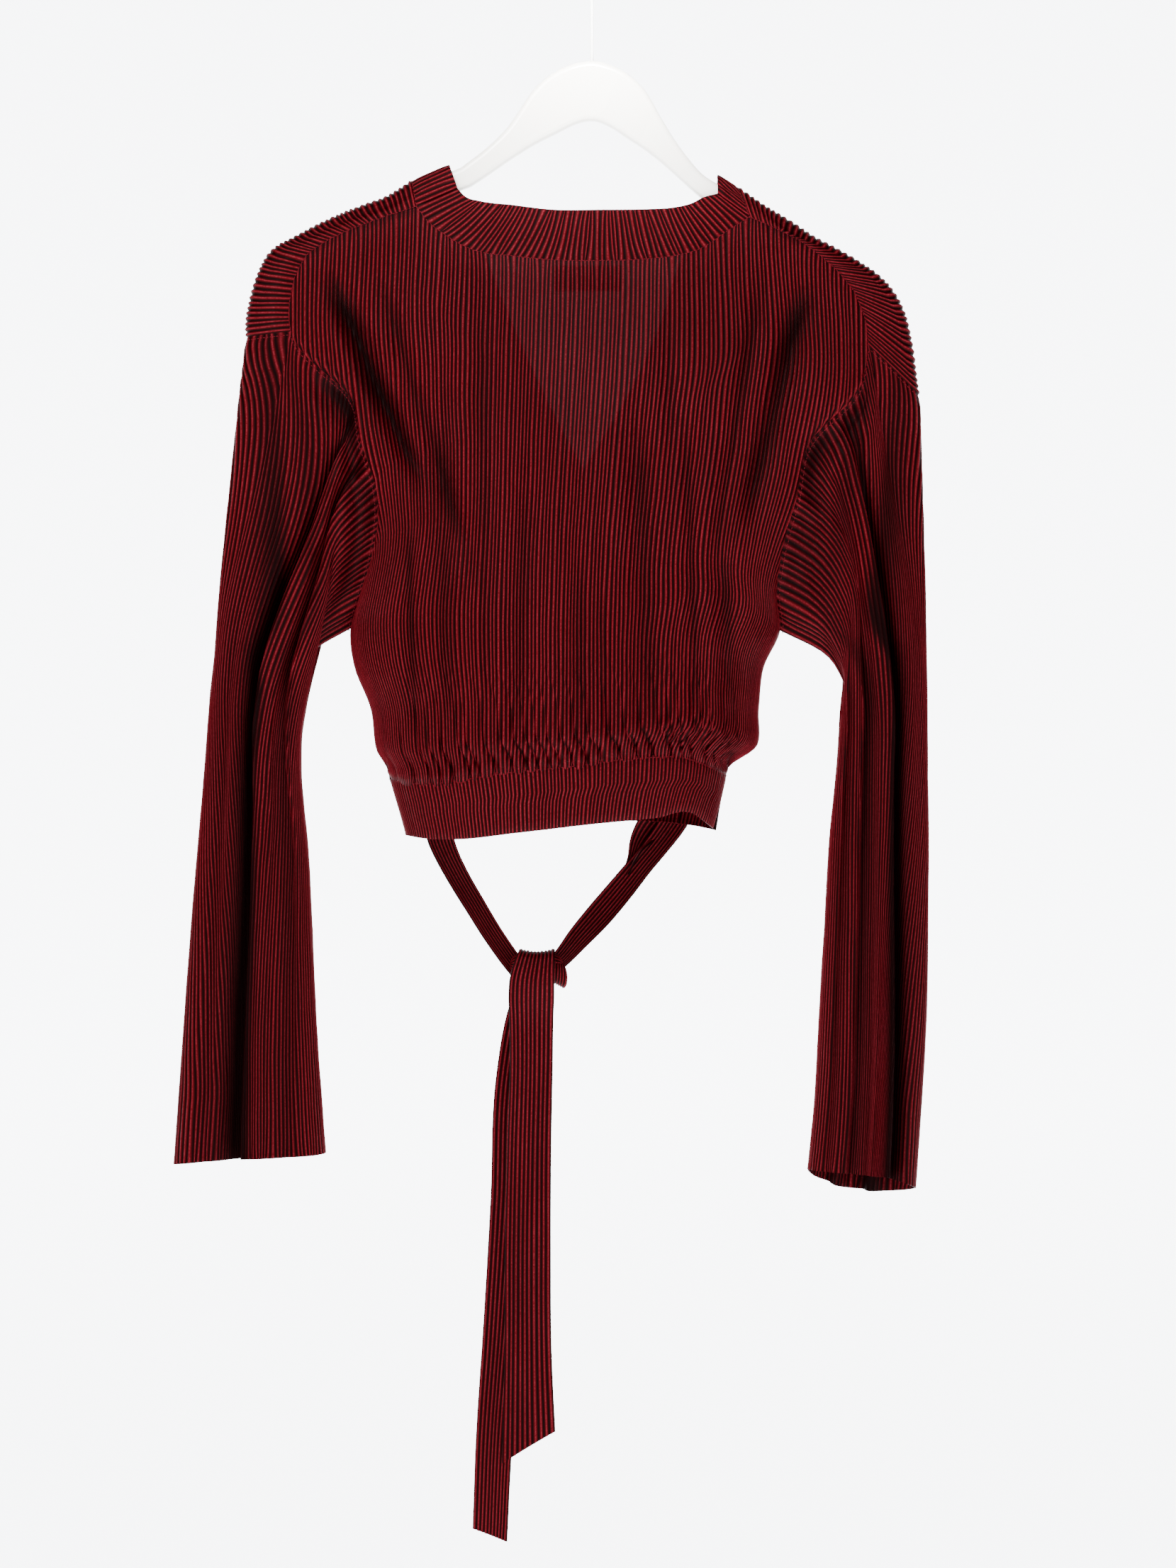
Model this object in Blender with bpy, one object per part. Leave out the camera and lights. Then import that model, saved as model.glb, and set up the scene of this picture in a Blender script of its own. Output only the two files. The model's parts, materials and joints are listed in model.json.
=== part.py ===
"""Pleated wrap crop top with long bell sleeves, hanging on a painted hanger.

All sizes are in millimetres until a mesh is made. +X is to the right and the back
of the garment faces -Y. Heights are read from the shoulder tables and then
lowered by HOOK_CURL, so that the origin is the hook's inner top.
"""
import math

import bmesh
import bpy
import numpy as np

# Driving sizes
MM = 0.001
HOOK_CURL = 16.0          # height of the hook's bend above the tables' datum
WALL = 1.3                # cloth behind the ribs
RIB = 1.1                 # height of a pleat's ridge
SEAM_REACH = 9.0          # how near two pieces' edges are where they are sewn
WAIST_GAP = 0.4
SEAM = 0.25               # each piece stops this far short of a seam
LAYER = 4.3               # step from the under wrap out to the over wrap
SHOULDER_TURN = 8.2       # radius of the cloth where it turns over the hanger
SQUARENESS = 2.4          # how boxy a section of the body is
BAND_LEFT = -143.0        # waistband: its ends at the top, and what it loses by its hem
BAND_RIGHT = 95.0
BAND_TAPER_LEFT = 12.0
BAND_TAPER_RIGHT = 10.0
BAND_DEPTH = 60.0
BAND_HIGH = 43.0
WAIST_TOP = -572.0
TUCK_ROW = 0.94           # the body is full down to this row, then drawn in
CREASE_ROOM = 5.0         # a sleeve's folds stop this far from its middle
CAP_PUSH = 15.0           # how far the sleeve leaves the lower armhole sideways
CAP_PUSH_OVER = 0.08
DENSE = 241               # points in a row before it is divided into pleats

# Pleats in each piece
BACK_PLEATS = 29
FRONT_PLEATS = 14
SLEEVE_PLEATS = 23
BACK_BAND_PLEATS = 15
FRONT_BAND_PLEATS = 10
NECK_PLEATS = 10
TIE_PLEATS = 4

# Hanger and small pieces
BOARD_THICK = 12.0
BOARD_EDGE = 4.0
ARM_HEIGHT = 14.5
BOARD_BELOW_CLOTH = 3.6
WIRE = 2.6
HOOK_RADIUS = 18.0
LABEL_WIDE = 48.0
LABEL_HIGH = 14.0
LABEL_THICK = 0.8


def table(columns, rows):
    """A table with named columns, as arrays."""
    return {name: np.array([row[i] for row in rows], float)
            for i, name in enumerate(columns.split())}


# Sections of the body, top to bottom: side lines, depth at the side line, depth in
# the middle of the back and of the front, and how the depth rises between them
BODY = table("z left right edge back front rise", [
    (-140, -206, 181, 9.6, 9.8, 9.8, 1.0),
    (-175, -206, 181, 9.6, 10.5, 11, 1.0),
    (-213, -206, 181, 10, 19, 20, 1.0),
    (-224, -209, 182, 10.5, 21, 23, 1.0),
    (-235, -211.5, 185, 11, 24, 26, 0.98),
    (-254, -213, 192, 12, 28, 31, 0.94),
    (-272, -208, 194, 13, 33, 36, 0.88),
    (-288, -193, 192, 16, 36, 40, 0.84),
    (-305, -173, 187, 19, 39, 44, 0.8),
    (-341, -162, 153, 25, 46, 52, 0.75),
    (-380, -150, 143, 28, 52, 58, 0.7),
    (-422, -154, 132, 24, 58, 63, 0.6),
    (-450, -163, 129, 14, 62, 65, 0.52),
    (-471, -169, 132, 0, 64, 66, 0.5),
    (-499, -166, 120, 0, 66, 67, 0.5),
    (-527, -155, 116.5, 0, 67, 67, 0.5),
    (-560, -150, 112, 0, 65, 65, 0.5),
    (-576, -143, 95, 0, 60, 61, 0.5),
    (-600, -137, 89, 0, 59, 60, 0.5),
    (-625, -128, 85, 0, 58, 59, 0.5),
])

# Seams along the top of the back panel: left shoulder, neckband, right shoulder
SEAM_LEFT = table("x z", [
    (-209, -224), (-202.5, -211.5), (-190, -201), (-172.5, -192), (-148, -182.5),
    (-123.5, -174.5),
])
SEAM_NECK = table("x z", [
    (-123.5, -174.5), (-116.5, -184), (-104.5, -194), (-83, -206), (-57, -210),
    (-27, -213), (7, -213.5), (42, -212), (60, -209.5), (78, -204), (95.5, -192), (111, -182),
])
SEAM_RIGHT = table("x z", [
    (111, -182), (130, -190.5), (148, -200), (162, -210.5), (174.5, -222), (185, -235),
])

# Free edge of the back neckband
NECK_TOP = table("x z", [
    (-94.5, -162), (-88.5, -168), (-78, -171), (-57, -173.5), (-27, -177), (7, -177),
    (42, -176.5), (57, -175.5), (70, -172.5), (79, -168), (88.5, -165.5),
])

# Waist seam, and the band's lower edge, at the back and at the front
WAIST_BACK = table("x z", [
    (-143, -576.5), (-131, -579), (-104, -578.5), (-60, -572), (-14, -567.5),
    (35, -561.5), (66, -562), (81, -567.5), (95, -574),
])
WAIST_FRONT = table("x z", [
    (-143, -576.5), (-94, -576), (-24, -569), (45, -562), (72, -563), (95, -574),
])
HEM_BACK = table("x z", [
    (-131, -617), (-118, -619), (-94, -619.5), (-52, -615), (4, -608.5), (45, -604.5),
    (69, -601), (85, -612),
])
HEM_FRONT = table("x z", [
    (-131, -617), (-94, -618), (-24, -611.5), (45, -603.5), (69, -601), (85, -612),
])

# Line of the shoulders seen from behind, from the tip to the neckband
SHOULDER_LEFT = table("x z", [
    (-243, -266), (-243.5, -259), (-240, -237), (-236.5, -224.5), (-226, -205.5),
    (-209.5, -195.5), (-179.5, -180.5), (-162, -173.5), (-144.5, -167), (-127, -156),
])
SHOULDER_RIGHT = table("x z", [
    (230, -307), (228, -291), (224.5, -266.5), (220, -249), (213, -235), (204, -224.5),
    (192, -215.5), (174.5, -205), (156.5, -195.5), (139, -184), (121.5, -173.5),
    (102.5, -160.5),
])

# Neckband down each front: its seam to the front, and its free edge
LEFT_WRAP = table("w seam_x seam_z free_x free_z", [
    (0, -123.5, -174.5, -94.5, -162),
    (0.125, -106, -226, -73.5, -212),
    (0.25, -87, -276, -53, -262),
    (0.375, -62, -331, -29, -313),
    (0.5, -34.5, -379, -3, -362),
    (0.625, -14.5, -427, 19, -412),
    (0.75, 4, -477, 38, -465),
    (0.875, 20, -521, 55, -512),
    (1, 33.5, -563, 69, -562.5),
])
RIGHT_WRAP = table("w seam_x seam_z free_x free_z", [
    (0, 111, -182, 88.5, -165.5),
    (0.125, 95, -226, 63, -210),
    (0.25, 79.5, -274, 47, -258),
    (0.375, 57, -321, 26, -303),
    (0.5, 27, -373, -4, -353),
    (0.625, -6.5, -427, -37, -406),
    (0.75, -37, -479, -68, -460),
    (0.875, -62, -530, -95, -516),
    (1, -83, -575.5, -118, -576.5),
])

# Neckband where it crosses the shoulder: seam side and free side, at the shoulder
# seam behind and on top of the fold
BAND_ON_SHOULDER = table("side seam_x seam_z free_x free_z top_seam_x top_seam_z top_free_x top_free_z", [
    (-1, -123.5, -174.5, -94.5, -162, -127, -156, -100.5, -144.5),
    (1, 111, -182, 88.5, -165.5, 102.5, -160.5, 88.5, -151.5),
])

# Rows down the body, as parts of the way from the shoulder seam to the waist
ROWS = [0, 0.055, 0.11, 0.165, 0.225, 0.32, 0.42, 0.53, 0.62, 0.7, 0.78, 0.86, 0.94, 1]
CORNER_ROW = 2            # the row that starts at the top of the sleeve
UNDERARM_ROW = 9
OVER_SHOULDER = [-1, -0.5, -0.25, 0, 0.25, 0.5, 1]

# Sleeve sections: outer and inner line, and half the depth
LEFT_SLEEVE = table("z outer inner half", [
    (-262, -243, -195, 12), (-300, -248, -172, 22), (-350, -253, -160, 28),
    (-400, -258, -158, 31), (-470, -264, -169, 31), (-486, -265, -190, 28),
    (-520, -268.5, -194, 27), (-567, -272, -203, 27), (-653, -279.5, -199.5, 28),
    (-750, -287, -195, 30), (-849, -294, -188, 32),
])
RIGHT_SLEEVE = table("z outer inner half", [
    (-275, 222, 190, 12), (-307, 230, 165, 20), (-350, 232, 150, 27),
    (-400, 233.5, 138, 31), (-472, 235, 133, 31), (-488, 235, 158, 29),
    (-506, 235.5, 168.5, 27), (-560, 236, 171, 26), (-653, 236.5, 166.5, 27),
    (-747, 235, 161, 29), (-808, 231.5, 157.5, 31), (-866, 227.5, 151.5, 32),
])
# Cuff edge round the sleeve: inner, back, outer and front
CUFFS = table("side inner back outer front", [
    (-1, -841, -844, -849, -846),
    (1, -852, -855, -866, -869),
])
SLEEVE_ROWS = [0, 0.045, 0.1, 0.17, 0.26, 0.37, 0.5, 0.64, 0.78, 0.9, 1]
CAP_FADE = 0.42           # part of the sleeve over which the armhole's form dies away

# Folds in the body: face (-1 back, 1 front), ends, half width and depth
BODY_FOLDS = table("face x0 z0 x1 z1 width depth", [
    (-1, -178, -236, -120, -372, 11, 9),
    (-1, 150, -240, 106, -400, 12, 8),
    (-1, -104, -300, -100, -560, 15, 5),
    (-1, 32, -330, 42, -560, 16, 5),
    (-1, 92, -420, 98, -560, 9, 6),
    (-1, -46, -380, -52, -560, 14, 3.5),
    (1, -160, -250, -118, -400, 12, 8),
    (1, 150, -250, 112, -420, 12, 8),
])

# Folds in the sleeves: sleeve, face, place across at the top, middle and cuff (0 is
# the outer line), half width, and depth at the top, middle and cuff
SLEEVE_FOLDS = table("sleeve face top middle cuff width top_depth middle_depth cuff_depth", [
    (-1, -1, 0.3, 0.5, 0.46, 0.14, 7, 11, 13),
    (-1, -1, 0.66, 0.84, 0.8, 0.14, 4, 3, 3),
    (-1, 1, 0.36, 0.42, 0.36, 0.13, 6, 10, 12),
    (-1, 1, 0.72, 0.74, 0.7, 0.1, 5, 8, 9),
    (1, -1, 0.24, 0.38, 0.27, 0.13, 7, 10, 13),
    (1, -1, 0.62, 0.72, 0.66, 0.13, 5, 4, 4),
    (1, 1, 0.4, 0.4, 0.42, 0.13, 6, 10, 12),
    (1, 1, 0.74, 0.72, 0.74, 0.1, 5, 8, 8),
])

# Ties and their tails: middle line, width, and turn of the flat about that line
LEFT_TIE = table("x y z wide turn", [
    (-107.5, 42.2, -618.8, 24, 35), (-107.4, 42.3, -621.5, 24, 35), (-105, 43.6, -630, 25, 38),
    (-98, 46.5, -644, 27, 48),
    (-84, 48, -667, 26, 54), (-71, 47.5, -689, 24, 50), (-55.9, 46.3, -707.8, 19, 44),
])
RIGHT_TIE = table("x y z wide turn", [
    (57.5, 45.5, -604.6, 24, -25), (57.5, 45.6, -612, 25, -30), (46, 46, -625, 28, -58),
    (34.5, 46.5, -637, 26, -74), (23.5, 47, -657, 26, -52), (4.5, 47, -676.5, 26, -40),
    (-9, 46.5, -690, 24, -42), (-24.0, 46, -706.9, 19, -44),
])
FRONT_TAIL = table("x y z wide turn", [
    (-39, 41, -729.8, 25, 6), (-42, 40, -745, 29, 8), (-43, 40, -775, 30, 6),
    (-44.5, 41, -840, 31, 4), (-45.5, 42, -910, 32.5, 4), (-45.5, 43, -985, 33.5, 6),
    (-45, 43, -1054, 38, 6),
])
BACK_TAIL = table("x y z wide turn", [
    (-44, 50, -730.2, 24, -12), (-48, 51, -750, 28, -14), (-54, 52, -790, 30, -16),
    (-58, 53, -880, 30, -14), (-64, 54, -970, 29, -18), (-70, 54, -1050, 28, -22),
    (-73, 54, -1118, 27, -24),
])
FRONT_TAIL_SLANT = 22.0   # drop of the cut end across its width
BACK_TAIL_SLANT = -7.0
KNOT_CENTRE = (-39.5, 45.5, -715.0)
KNOT_RADII = (17.5, 13.0, 15.0)

# Hanger board: upper line, and the lower line's notch
BOARD_TOP = table("x z", [
    (-92.5, -146.5), (-72, -130.5), (-60.5, -119), (-50.5, -105), (-44, -95),
    (-33.5, -84), (-21, -76), (-8, -71.8), (0, -71), (13.5, -74), (30, -84),
    (37.5, -92), (49, -111.5), (57, -124.5), (68.5, -140.5), (78.5, -151.5), (90, -159),
])
BOARD_NOTCH = table("x z", [(-85.5, -160), (-30, -125), (0, -113.5), (30, -129), (80.5, -171)])
ARM_TIP_LEFT = -207.0
ARM_TIP_RIGHT = 202.0

COLOURS = {
    "cloth": ((0.14, 0.006, 0.012, 1), 0.5),
    "board": ((0.93, 0.9, 0.85, 1), 0.35),
    "wire": ((0.9, 0.9, 0.9, 1), 0.3),
    "label": ((0.04, 0.002, 0.004, 1), 0.7),
}


def clear_scene():
    for item in list(bpy.data.objects):
        bpy.data.objects.remove(item, do_unlink=True)


def material(name):
    found = bpy.data.materials.get(name)
    if found:
        return found
    colour, roughness = COLOURS[name]
    made = bpy.data.materials.new(name)
    made.use_nodes = True
    shader = made.node_tree.nodes["Principled BSDF"]
    shader.inputs["Base Color"].default_value = colour
    shader.inputs["Roughness"].default_value = roughness
    shader.inputs["Metallic"].default_value = 0.0
    return made


def add_object(name, points, faces, finish):
    """One object from points in the tables' millimetres."""
    mesh = bpy.data.meshes.new(name)
    placed = [(x * MM, y * MM, (z - HOOK_CURL) * MM) for x, y, z in points]
    mesh.from_pydata(placed, [], faces)
    work = bmesh.new()
    work.from_mesh(mesh)
    bmesh.ops.recalc_face_normals(work, faces=work.faces)
    bmesh.ops.triangulate(work, faces=work.faces)
    work.to_mesh(mesh)
    work.free()
    item = bpy.data.objects.new(name, mesh)
    item.data.materials.append(material(finish))
    bpy.context.collection.objects.link(item)
    return item


def smooth(keys, values, at):
    """A smooth line through a table's values."""
    if keys[0] > keys[-1]:
        keys, values = keys[::-1], values[::-1]
    at = np.clip(at, keys[0], keys[-1])
    slope = np.gradient(values, keys)
    i = np.clip(np.searchsorted(keys, at) - 1, 0, len(keys) - 2)
    step = keys[i + 1] - keys[i]
    t = (at - keys[i]) / step
    rest = 1 - t
    return (values[i] * (1 + 2 * t) * rest ** 2 + slope[i] * step * t * rest ** 2
            + values[i + 1] * t ** 2 * (3 - 2 * t) - slope[i + 1] * step * t ** 2 * rest)


def ease(t):
    t = np.clip(t, 0, 1)
    return t * t * (3 - 2 * t)


def spaced(points, count):
    """Points at equal steps along a line."""
    points = np.asarray(points, float)
    steps = np.linalg.norm(np.diff(points, axis=0), axis=1)
    run = np.concatenate([[0], np.cumsum(steps)])
    want = np.linspace(0, run[-1], count)
    return np.stack([np.interp(want, run, points[:, k]) for k in range(points.shape[1])], axis=1)


def along(line, count=DENSE):
    """Points at equal steps along the smooth curve through a table's x and z."""
    knots = np.stack([line["x"], line["z"]], axis=1)
    run = np.concatenate([[0], np.cumsum(np.linalg.norm(np.diff(knots, axis=0), axis=1))])
    want = np.linspace(0, run[-1], count * 2)
    curve = np.stack([smooth(run, knots[:, k], want) for k in (0, 1)], axis=1)
    return spaced(curve, count)


def folds_in_body(face, x, z):
    depth = np.zeros_like(x)
    for k in range(len(BODY_FOLDS["face"])):
        fold = {name: column[k] for name, column in BODY_FOLDS.items()}
        if fold["face"] != face:
            continue
        t = (z - fold["z0"]) / (fold["z1"] - fold["z0"])
        line = fold["x0"] + (fold["x1"] - fold["x0"]) * t
        reach = ease((t + 0.12) / 0.3) * ease((1.1 - t) / 0.3)
        depth += fold["depth"] * reach * np.exp(-((x - line) / fold["width"]) ** 2)
    return depth


def body_depth(face, x, z, tuck=0.0):
    """Distance of the cloth from the hanger's plane. The tuck draws it in to the band."""
    x = np.asarray(x, float)
    z = np.asarray(z, float)
    left = smooth(BODY["z"], BODY["left"], z)
    right = smooth(BODY["z"], BODY["right"], z)
    across = np.clip(2 * (x - left) / (right - left) - 1, -1, 1)
    edge = np.maximum(smooth(BODY["z"], BODY["edge"], z), 0)
    middle = smooth(BODY["z"], BODY["back" if face < 0 else "front"], z)
    rise = smooth(BODY["z"], BODY["rise"], z)
    loose = edge + (middle - edge) * (1 - np.abs(across) ** SQUARENESS) ** rise
    return loose * (1 - tuck) + band_depth(x, z) * tuck


def band_depth(x, z):
    """Distance of the waistband from the hanger's plane."""
    down = np.clip((WAIST_TOP - z) / BAND_HIGH, 0, 1)
    left = BAND_LEFT + BAND_TAPER_LEFT * down
    right = BAND_RIGHT - BAND_TAPER_RIGHT * down
    across = np.clip(2 * (x - left) / (right - left) - 1, -1, 1)
    return (BAND_DEPTH - 2 * down) * (1 - np.abs(across) ** SQUARENESS) ** 0.5


def back_top(x):
    """Height of the seam along the top of the back panel."""
    left, neck, right = (smooth(line["x"], line["z"], x) for line in (SEAM_LEFT, SEAM_NECK, SEAM_RIGHT))
    return np.where(x < SEAM_LEFT["x"][-1], left, np.where(x > SEAM_RIGHT["x"][0], right, neck))


def side_z(side, row):
    """Height of a body row at the left or right side line."""
    top = SEAM_LEFT["z"][0] if side < 0 else SEAM_RIGHT["z"][-1]
    end = WAIST_BACK["z"][0] if side < 0 else WAIST_BACK["z"][-1]
    return top + (end - top) * row


def side_x(side, z):
    return float(smooth(BODY["z"], BODY["left" if side < 0 else "right"], np.array(z)))


def back_grid(columns):
    """The back panel: one row of points for each of ROWS."""
    t = (1 - np.cos(np.linspace(0, math.pi, DENSE))) / 2
    top_x = SEAM_LEFT["x"][0] + (SEAM_RIGHT["x"][-1] - SEAM_LEFT["x"][0]) * t
    low_x = WAIST_BACK["x"][0] + (WAIST_BACK["x"][-1] - WAIST_BACK["x"][0]) * t
    top_z = back_top(top_x)
    low_z = smooth(WAIST_BACK["x"], WAIST_BACK["z"], low_x)
    grid = []
    for row in ROWS:
        tuck = tucked(row)
        start = side_x(-1, side_z(-1, row)) * (1 - tuck) + BAND_LEFT * tuck
        end = side_x(1, side_z(1, row)) * (1 - tuck) + BAND_RIGHT * tuck
        x = start + (end - start) * t
        z = top_z * (1 - row) + low_z * row
        grid.append(creased(-1, spaced(np.stack([x, -body_depth(-1, x, z, tuck), z], axis=1), columns)))
    return np.array(grid)


def tucked(row):
    return float(ease(np.array((row - TUCK_ROW) / (1 - TUCK_ROW))))


def creased(face, line):
    """A row with the body's folds pressed into it."""
    line[:, 1] -= face * folds_in_body(face, line[:, 0], line[:, 2])
    return line


def shoulder_seam(side):
    """The seam behind the shoulder, from the top of the sleeve to the neckband."""
    z = [side_z(side, row) for row in ROWS[CORNER_ROW::-1]]
    drop = np.array([[side_x(side, value), value] for value in z])
    line = SEAM_LEFT if side < 0 else SEAM_RIGHT
    x = np.linspace(line["x"][0], line["x"][-1], DENSE)[::-side]
    rise = np.stack([x, smooth(line["x"], line["z"], x)], axis=1)
    return spaced(np.concatenate([drop, rise[1:]]), DENSE)


def over_shoulder(seam, top, turn):
    """One row of the cloth as it folds over the hanger, from the back seam to the front."""
    width = np.linalg.norm(top - seam, axis=1)[:, None]
    up = (top - seam) / width
    axis = top - up * SHOULDER_TURN
    if abs(turn) <= 0.5:
        angle = turn * math.pi
        place = axis + up * SHOULDER_TURN * math.cos(angle)
        y = np.full(len(seam), SHOULDER_TURN * math.sin(angle))
        return np.stack([place[:, 0], y, place[:, 1]], axis=1)
    face = -1 if turn < 0 else 1
    y = face * body_depth(face, seam[:, 0], seam[:, 1])
    return np.stack([seam[:, 0], y, seam[:, 1]], axis=1)


def layered(x, z, side, tuck=0.0):
    """The front surface, moved out where the over wrap lies on the under wrap."""
    x = np.asarray(x, float)
    z = np.asarray(z, float)
    y = body_depth(1, x, z, tuck)
    if side < 0:
        return np.stack([x, y, z], axis=-1)
    step = 0.5
    along_x = (body_depth(1, x + step, z, tuck) - body_depth(1, x - step, z, tuck)) / (2 * step)
    along_x = np.clip(along_x, -4, 4)
    along_z = (body_depth(1, x, z + step, tuck) - body_depth(1, x, z - step, tuck)) / (2 * step)
    out = np.stack([-along_x, np.ones_like(x), -along_z], axis=-1)
    out /= np.linalg.norm(out, axis=-1, keepdims=True)
    under = smooth(LEFT_WRAP["free_z"], LEFT_WRAP["free_x"], z)
    lift = LAYER * ease((under + 24 - x) / 15)
    return np.stack([x, y, z], axis=-1) + out * lift[..., None]


def waist_dip(x0, z0, x1, z1, t):
    """How far the front's waist seam lies off the straight line between two places."""
    seam = smooth(WAIST_FRONT["x"], WAIST_FRONT["z"], x0 + (x1 - x0) * t)
    return seam - (z0 + (z1 - z0) * t)


def front_grid(side, columns):
    """A front panel: over the shoulder, then down to the waist."""
    wrap = LEFT_WRAP if side < 0 else RIGHT_WRAP
    seam = shoulder_seam(side)
    top = along(SHOULDER_LEFT if side < 0 else SHOULDER_RIGHT)
    grid = [spaced(over_shoulder(seam, top, turn), columns) for turn in OVER_SHOULDER]
    place = np.linspace(0, 1, DENSE)
    t = place ** 1.6
    seam_at = np.stack([np.interp(t, place, seam[:, k]) for k in (0, 1)], axis=1)
    straight = seam[0] + (seam[-1] - seam[0]) * t[:, None]
    bow = seam_at - straight
    first = ROWS[CORNER_ROW]
    for row in ROWS[CORNER_ROW + 1:]:
        w = (row - first) / (1 - first)
        outer_z = side_z(side, row)
        inner_x = float(smooth(wrap["w"], wrap["seam_x"], np.array(w)))
        inner_z = float(smooth(wrap["w"], wrap["seam_z"], np.array(w)))
        tuck = tucked(row)
        end_x = BAND_LEFT if side < 0 else BAND_RIGHT
        outer_x = side_x(side, outer_z) * (1 - tuck) + end_x * tuck
        x = outer_x + (inner_x - outer_x) * t + bow[:, 0] * (1 - w) ** 3
        z = outer_z + (inner_z - outer_z) * t + bow[:, 1] * (1 - w) ** 2
        z += ease((w - 0.8) / 0.2) * waist_dip(end_x, WAIST_FRONT["z"][0 if side < 0 else -1],
                                               wrap["seam_x"][-1], wrap["seam_z"][-1], t)
        grid.append(creased(1, spaced(layered(x, z, side, tuck), columns)))
    return np.array(grid)


def neckband_grid(side, columns):
    """The neckband of one front, from the shoulder seam down to the waist."""
    wrap = LEFT_WRAP if side < 0 else RIGHT_WRAP
    ends = {name: column[0 if side < 0 else 1] for name, column in BAND_ON_SHOULDER.items()}
    t = np.linspace(0, 1, 25)[:, None]
    seam_end = np.array([ends["seam_x"], ends["seam_z"]])
    free_end = np.array([ends["free_x"], ends["free_z"]])
    top_seam = np.array([ends["top_seam_x"], ends["top_seam_z"]])
    top_free = np.array([ends["top_free_x"], ends["top_free_z"]])
    seam = seam_end + (free_end - seam_end) * t
    top = top_seam + (top_free - top_seam) * t
    grid = [spaced(over_shoulder(seam, top, turn), columns) for turn in OVER_SHOULDER]
    first = ROWS[CORNER_ROW]
    for row in ROWS[CORNER_ROW + 1:]:
        w = np.array((row - first) / (1 - first))
        a = np.array([smooth(wrap["w"], wrap["seam_x"], w), smooth(wrap["w"], wrap["seam_z"], w)])
        b = np.array([smooth(wrap["w"], wrap["free_x"], w), smooth(wrap["w"], wrap["free_z"], w)])
        line = a + (b - a) * t
        line[:, 1] += ease((float(w) - 0.8) / 0.2) * waist_dip(
            wrap["seam_x"][-1], wrap["seam_z"][-1], wrap["free_x"][-1], wrap["free_z"][-1], t[:, 0])
        row_line = layered(line[:, 0], line[:, 1], side, tucked(row))
        grid.append(creased(1, spaced(row_line, columns)))
    return np.array(grid)


def neck_back_grid(columns, rows=3):
    """The neckband behind the neck, from one shoulder seam to the other."""
    t = np.linspace(0, 1, DENSE)
    low_x = SEAM_NECK["x"][0] + (SEAM_NECK["x"][-1] - SEAM_NECK["x"][0]) * t
    low = spaced(np.stack([low_x, smooth(SEAM_NECK["x"], SEAM_NECK["z"], low_x)], axis=1), DENSE)
    high = along(NECK_TOP)
    grid = []
    for k in range(rows):
        line = high + (low - high) * (k / (rows - 1))
        y = -body_depth(-1, line[:, 0], line[:, 1])
        grid.append(spaced(np.stack([line[:, 0], y, line[:, 1]], axis=1), columns))
    return np.array(grid)


def band_grid(face, start, end, columns, side=0, rows=3):
    """Part of the waistband, between two places across the front or the back."""
    top = WAIST_BACK if face < 0 else WAIST_FRONT
    low = HEM_BACK if face < 0 else HEM_FRONT
    t = (1 - np.cos(np.linspace(0, math.pi, DENSE))) / 2
    part = start + (end - start) * t
    top_x = top["x"][0] + (top["x"][-1] - top["x"][0]) * part
    low_x = low["x"][0] + (low["x"][-1] - low["x"][0]) * part
    top_z = smooth(top["x"], top["z"], top_x)
    low_z = smooth(low["x"], low["z"], low_x)
    grid = []
    for k in range(rows):
        down = k / (rows - 1)
        z = top_z + (low_z - top_z) * down
        left = BAND_LEFT + BAND_TAPER_LEFT * down
        right = BAND_RIGHT - BAND_TAPER_RIGHT * down
        x = left + (right - left) * part
        if face < 0:
            row = np.stack([x, -body_depth(-1, x, z, 1.0), z], axis=1)
        else:
            row = layered(x, z, side, 1.0)
        grid.append(spaced(row, columns))
    return np.array(grid)


def sleeve_section(sleeve, side, part, row, z_inner, z_outer):
    """One section of the sleeve, from the underarm line round the back and the front."""
    outer = smooth(sleeve["z"], sleeve["outer"], np.array(z_outer))
    inner = smooth(sleeve["z"], sleeve["inner"], np.array(z_inner))
    half = smooth(sleeve["z"], sleeve["half"], np.array(z_inner))
    angle = 2 * math.pi * part
    round_x = np.sign(np.cos(angle)) * np.abs(np.cos(angle)) ** 0.9
    round_y = np.sign(np.sin(angle)) * np.abs(np.sin(angle)) ** 0.85
    x = (outer + inner) / 2 + (inner - outer) / 2 * round_x
    y = -half * round_y
    across = (1 + round_x) / 2
    stations = np.array([0, 0.45, 1])
    inward = np.zeros_like(x)
    for k in range(len(SLEEVE_FOLDS["sleeve"])):
        fold = {name: column[k] for name, column in SLEEVE_FOLDS.items()}
        if fold["sleeve"] != side:
            continue
        places = np.array([fold["top"], fold["middle"], fold["cuff"]])
        depths = np.array([fold["top_depth"], fold["middle_depth"], fold["cuff_depth"]])
        place = smooth(stations, places, np.array(row))
        depth = smooth(stations, depths, np.array(row))
        on_face = ease((-round_y * fold["face"] - 0.25) * 1.8)
        inward += depth * on_face * np.exp(-((across - place) / fold["width"]) ** 2) * -fold["face"]
    inward = np.clip(inward, -np.maximum(y - CREASE_ROOM, 0), np.maximum(-y - CREASE_ROOM, 0))
    return x, y + inward


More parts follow.
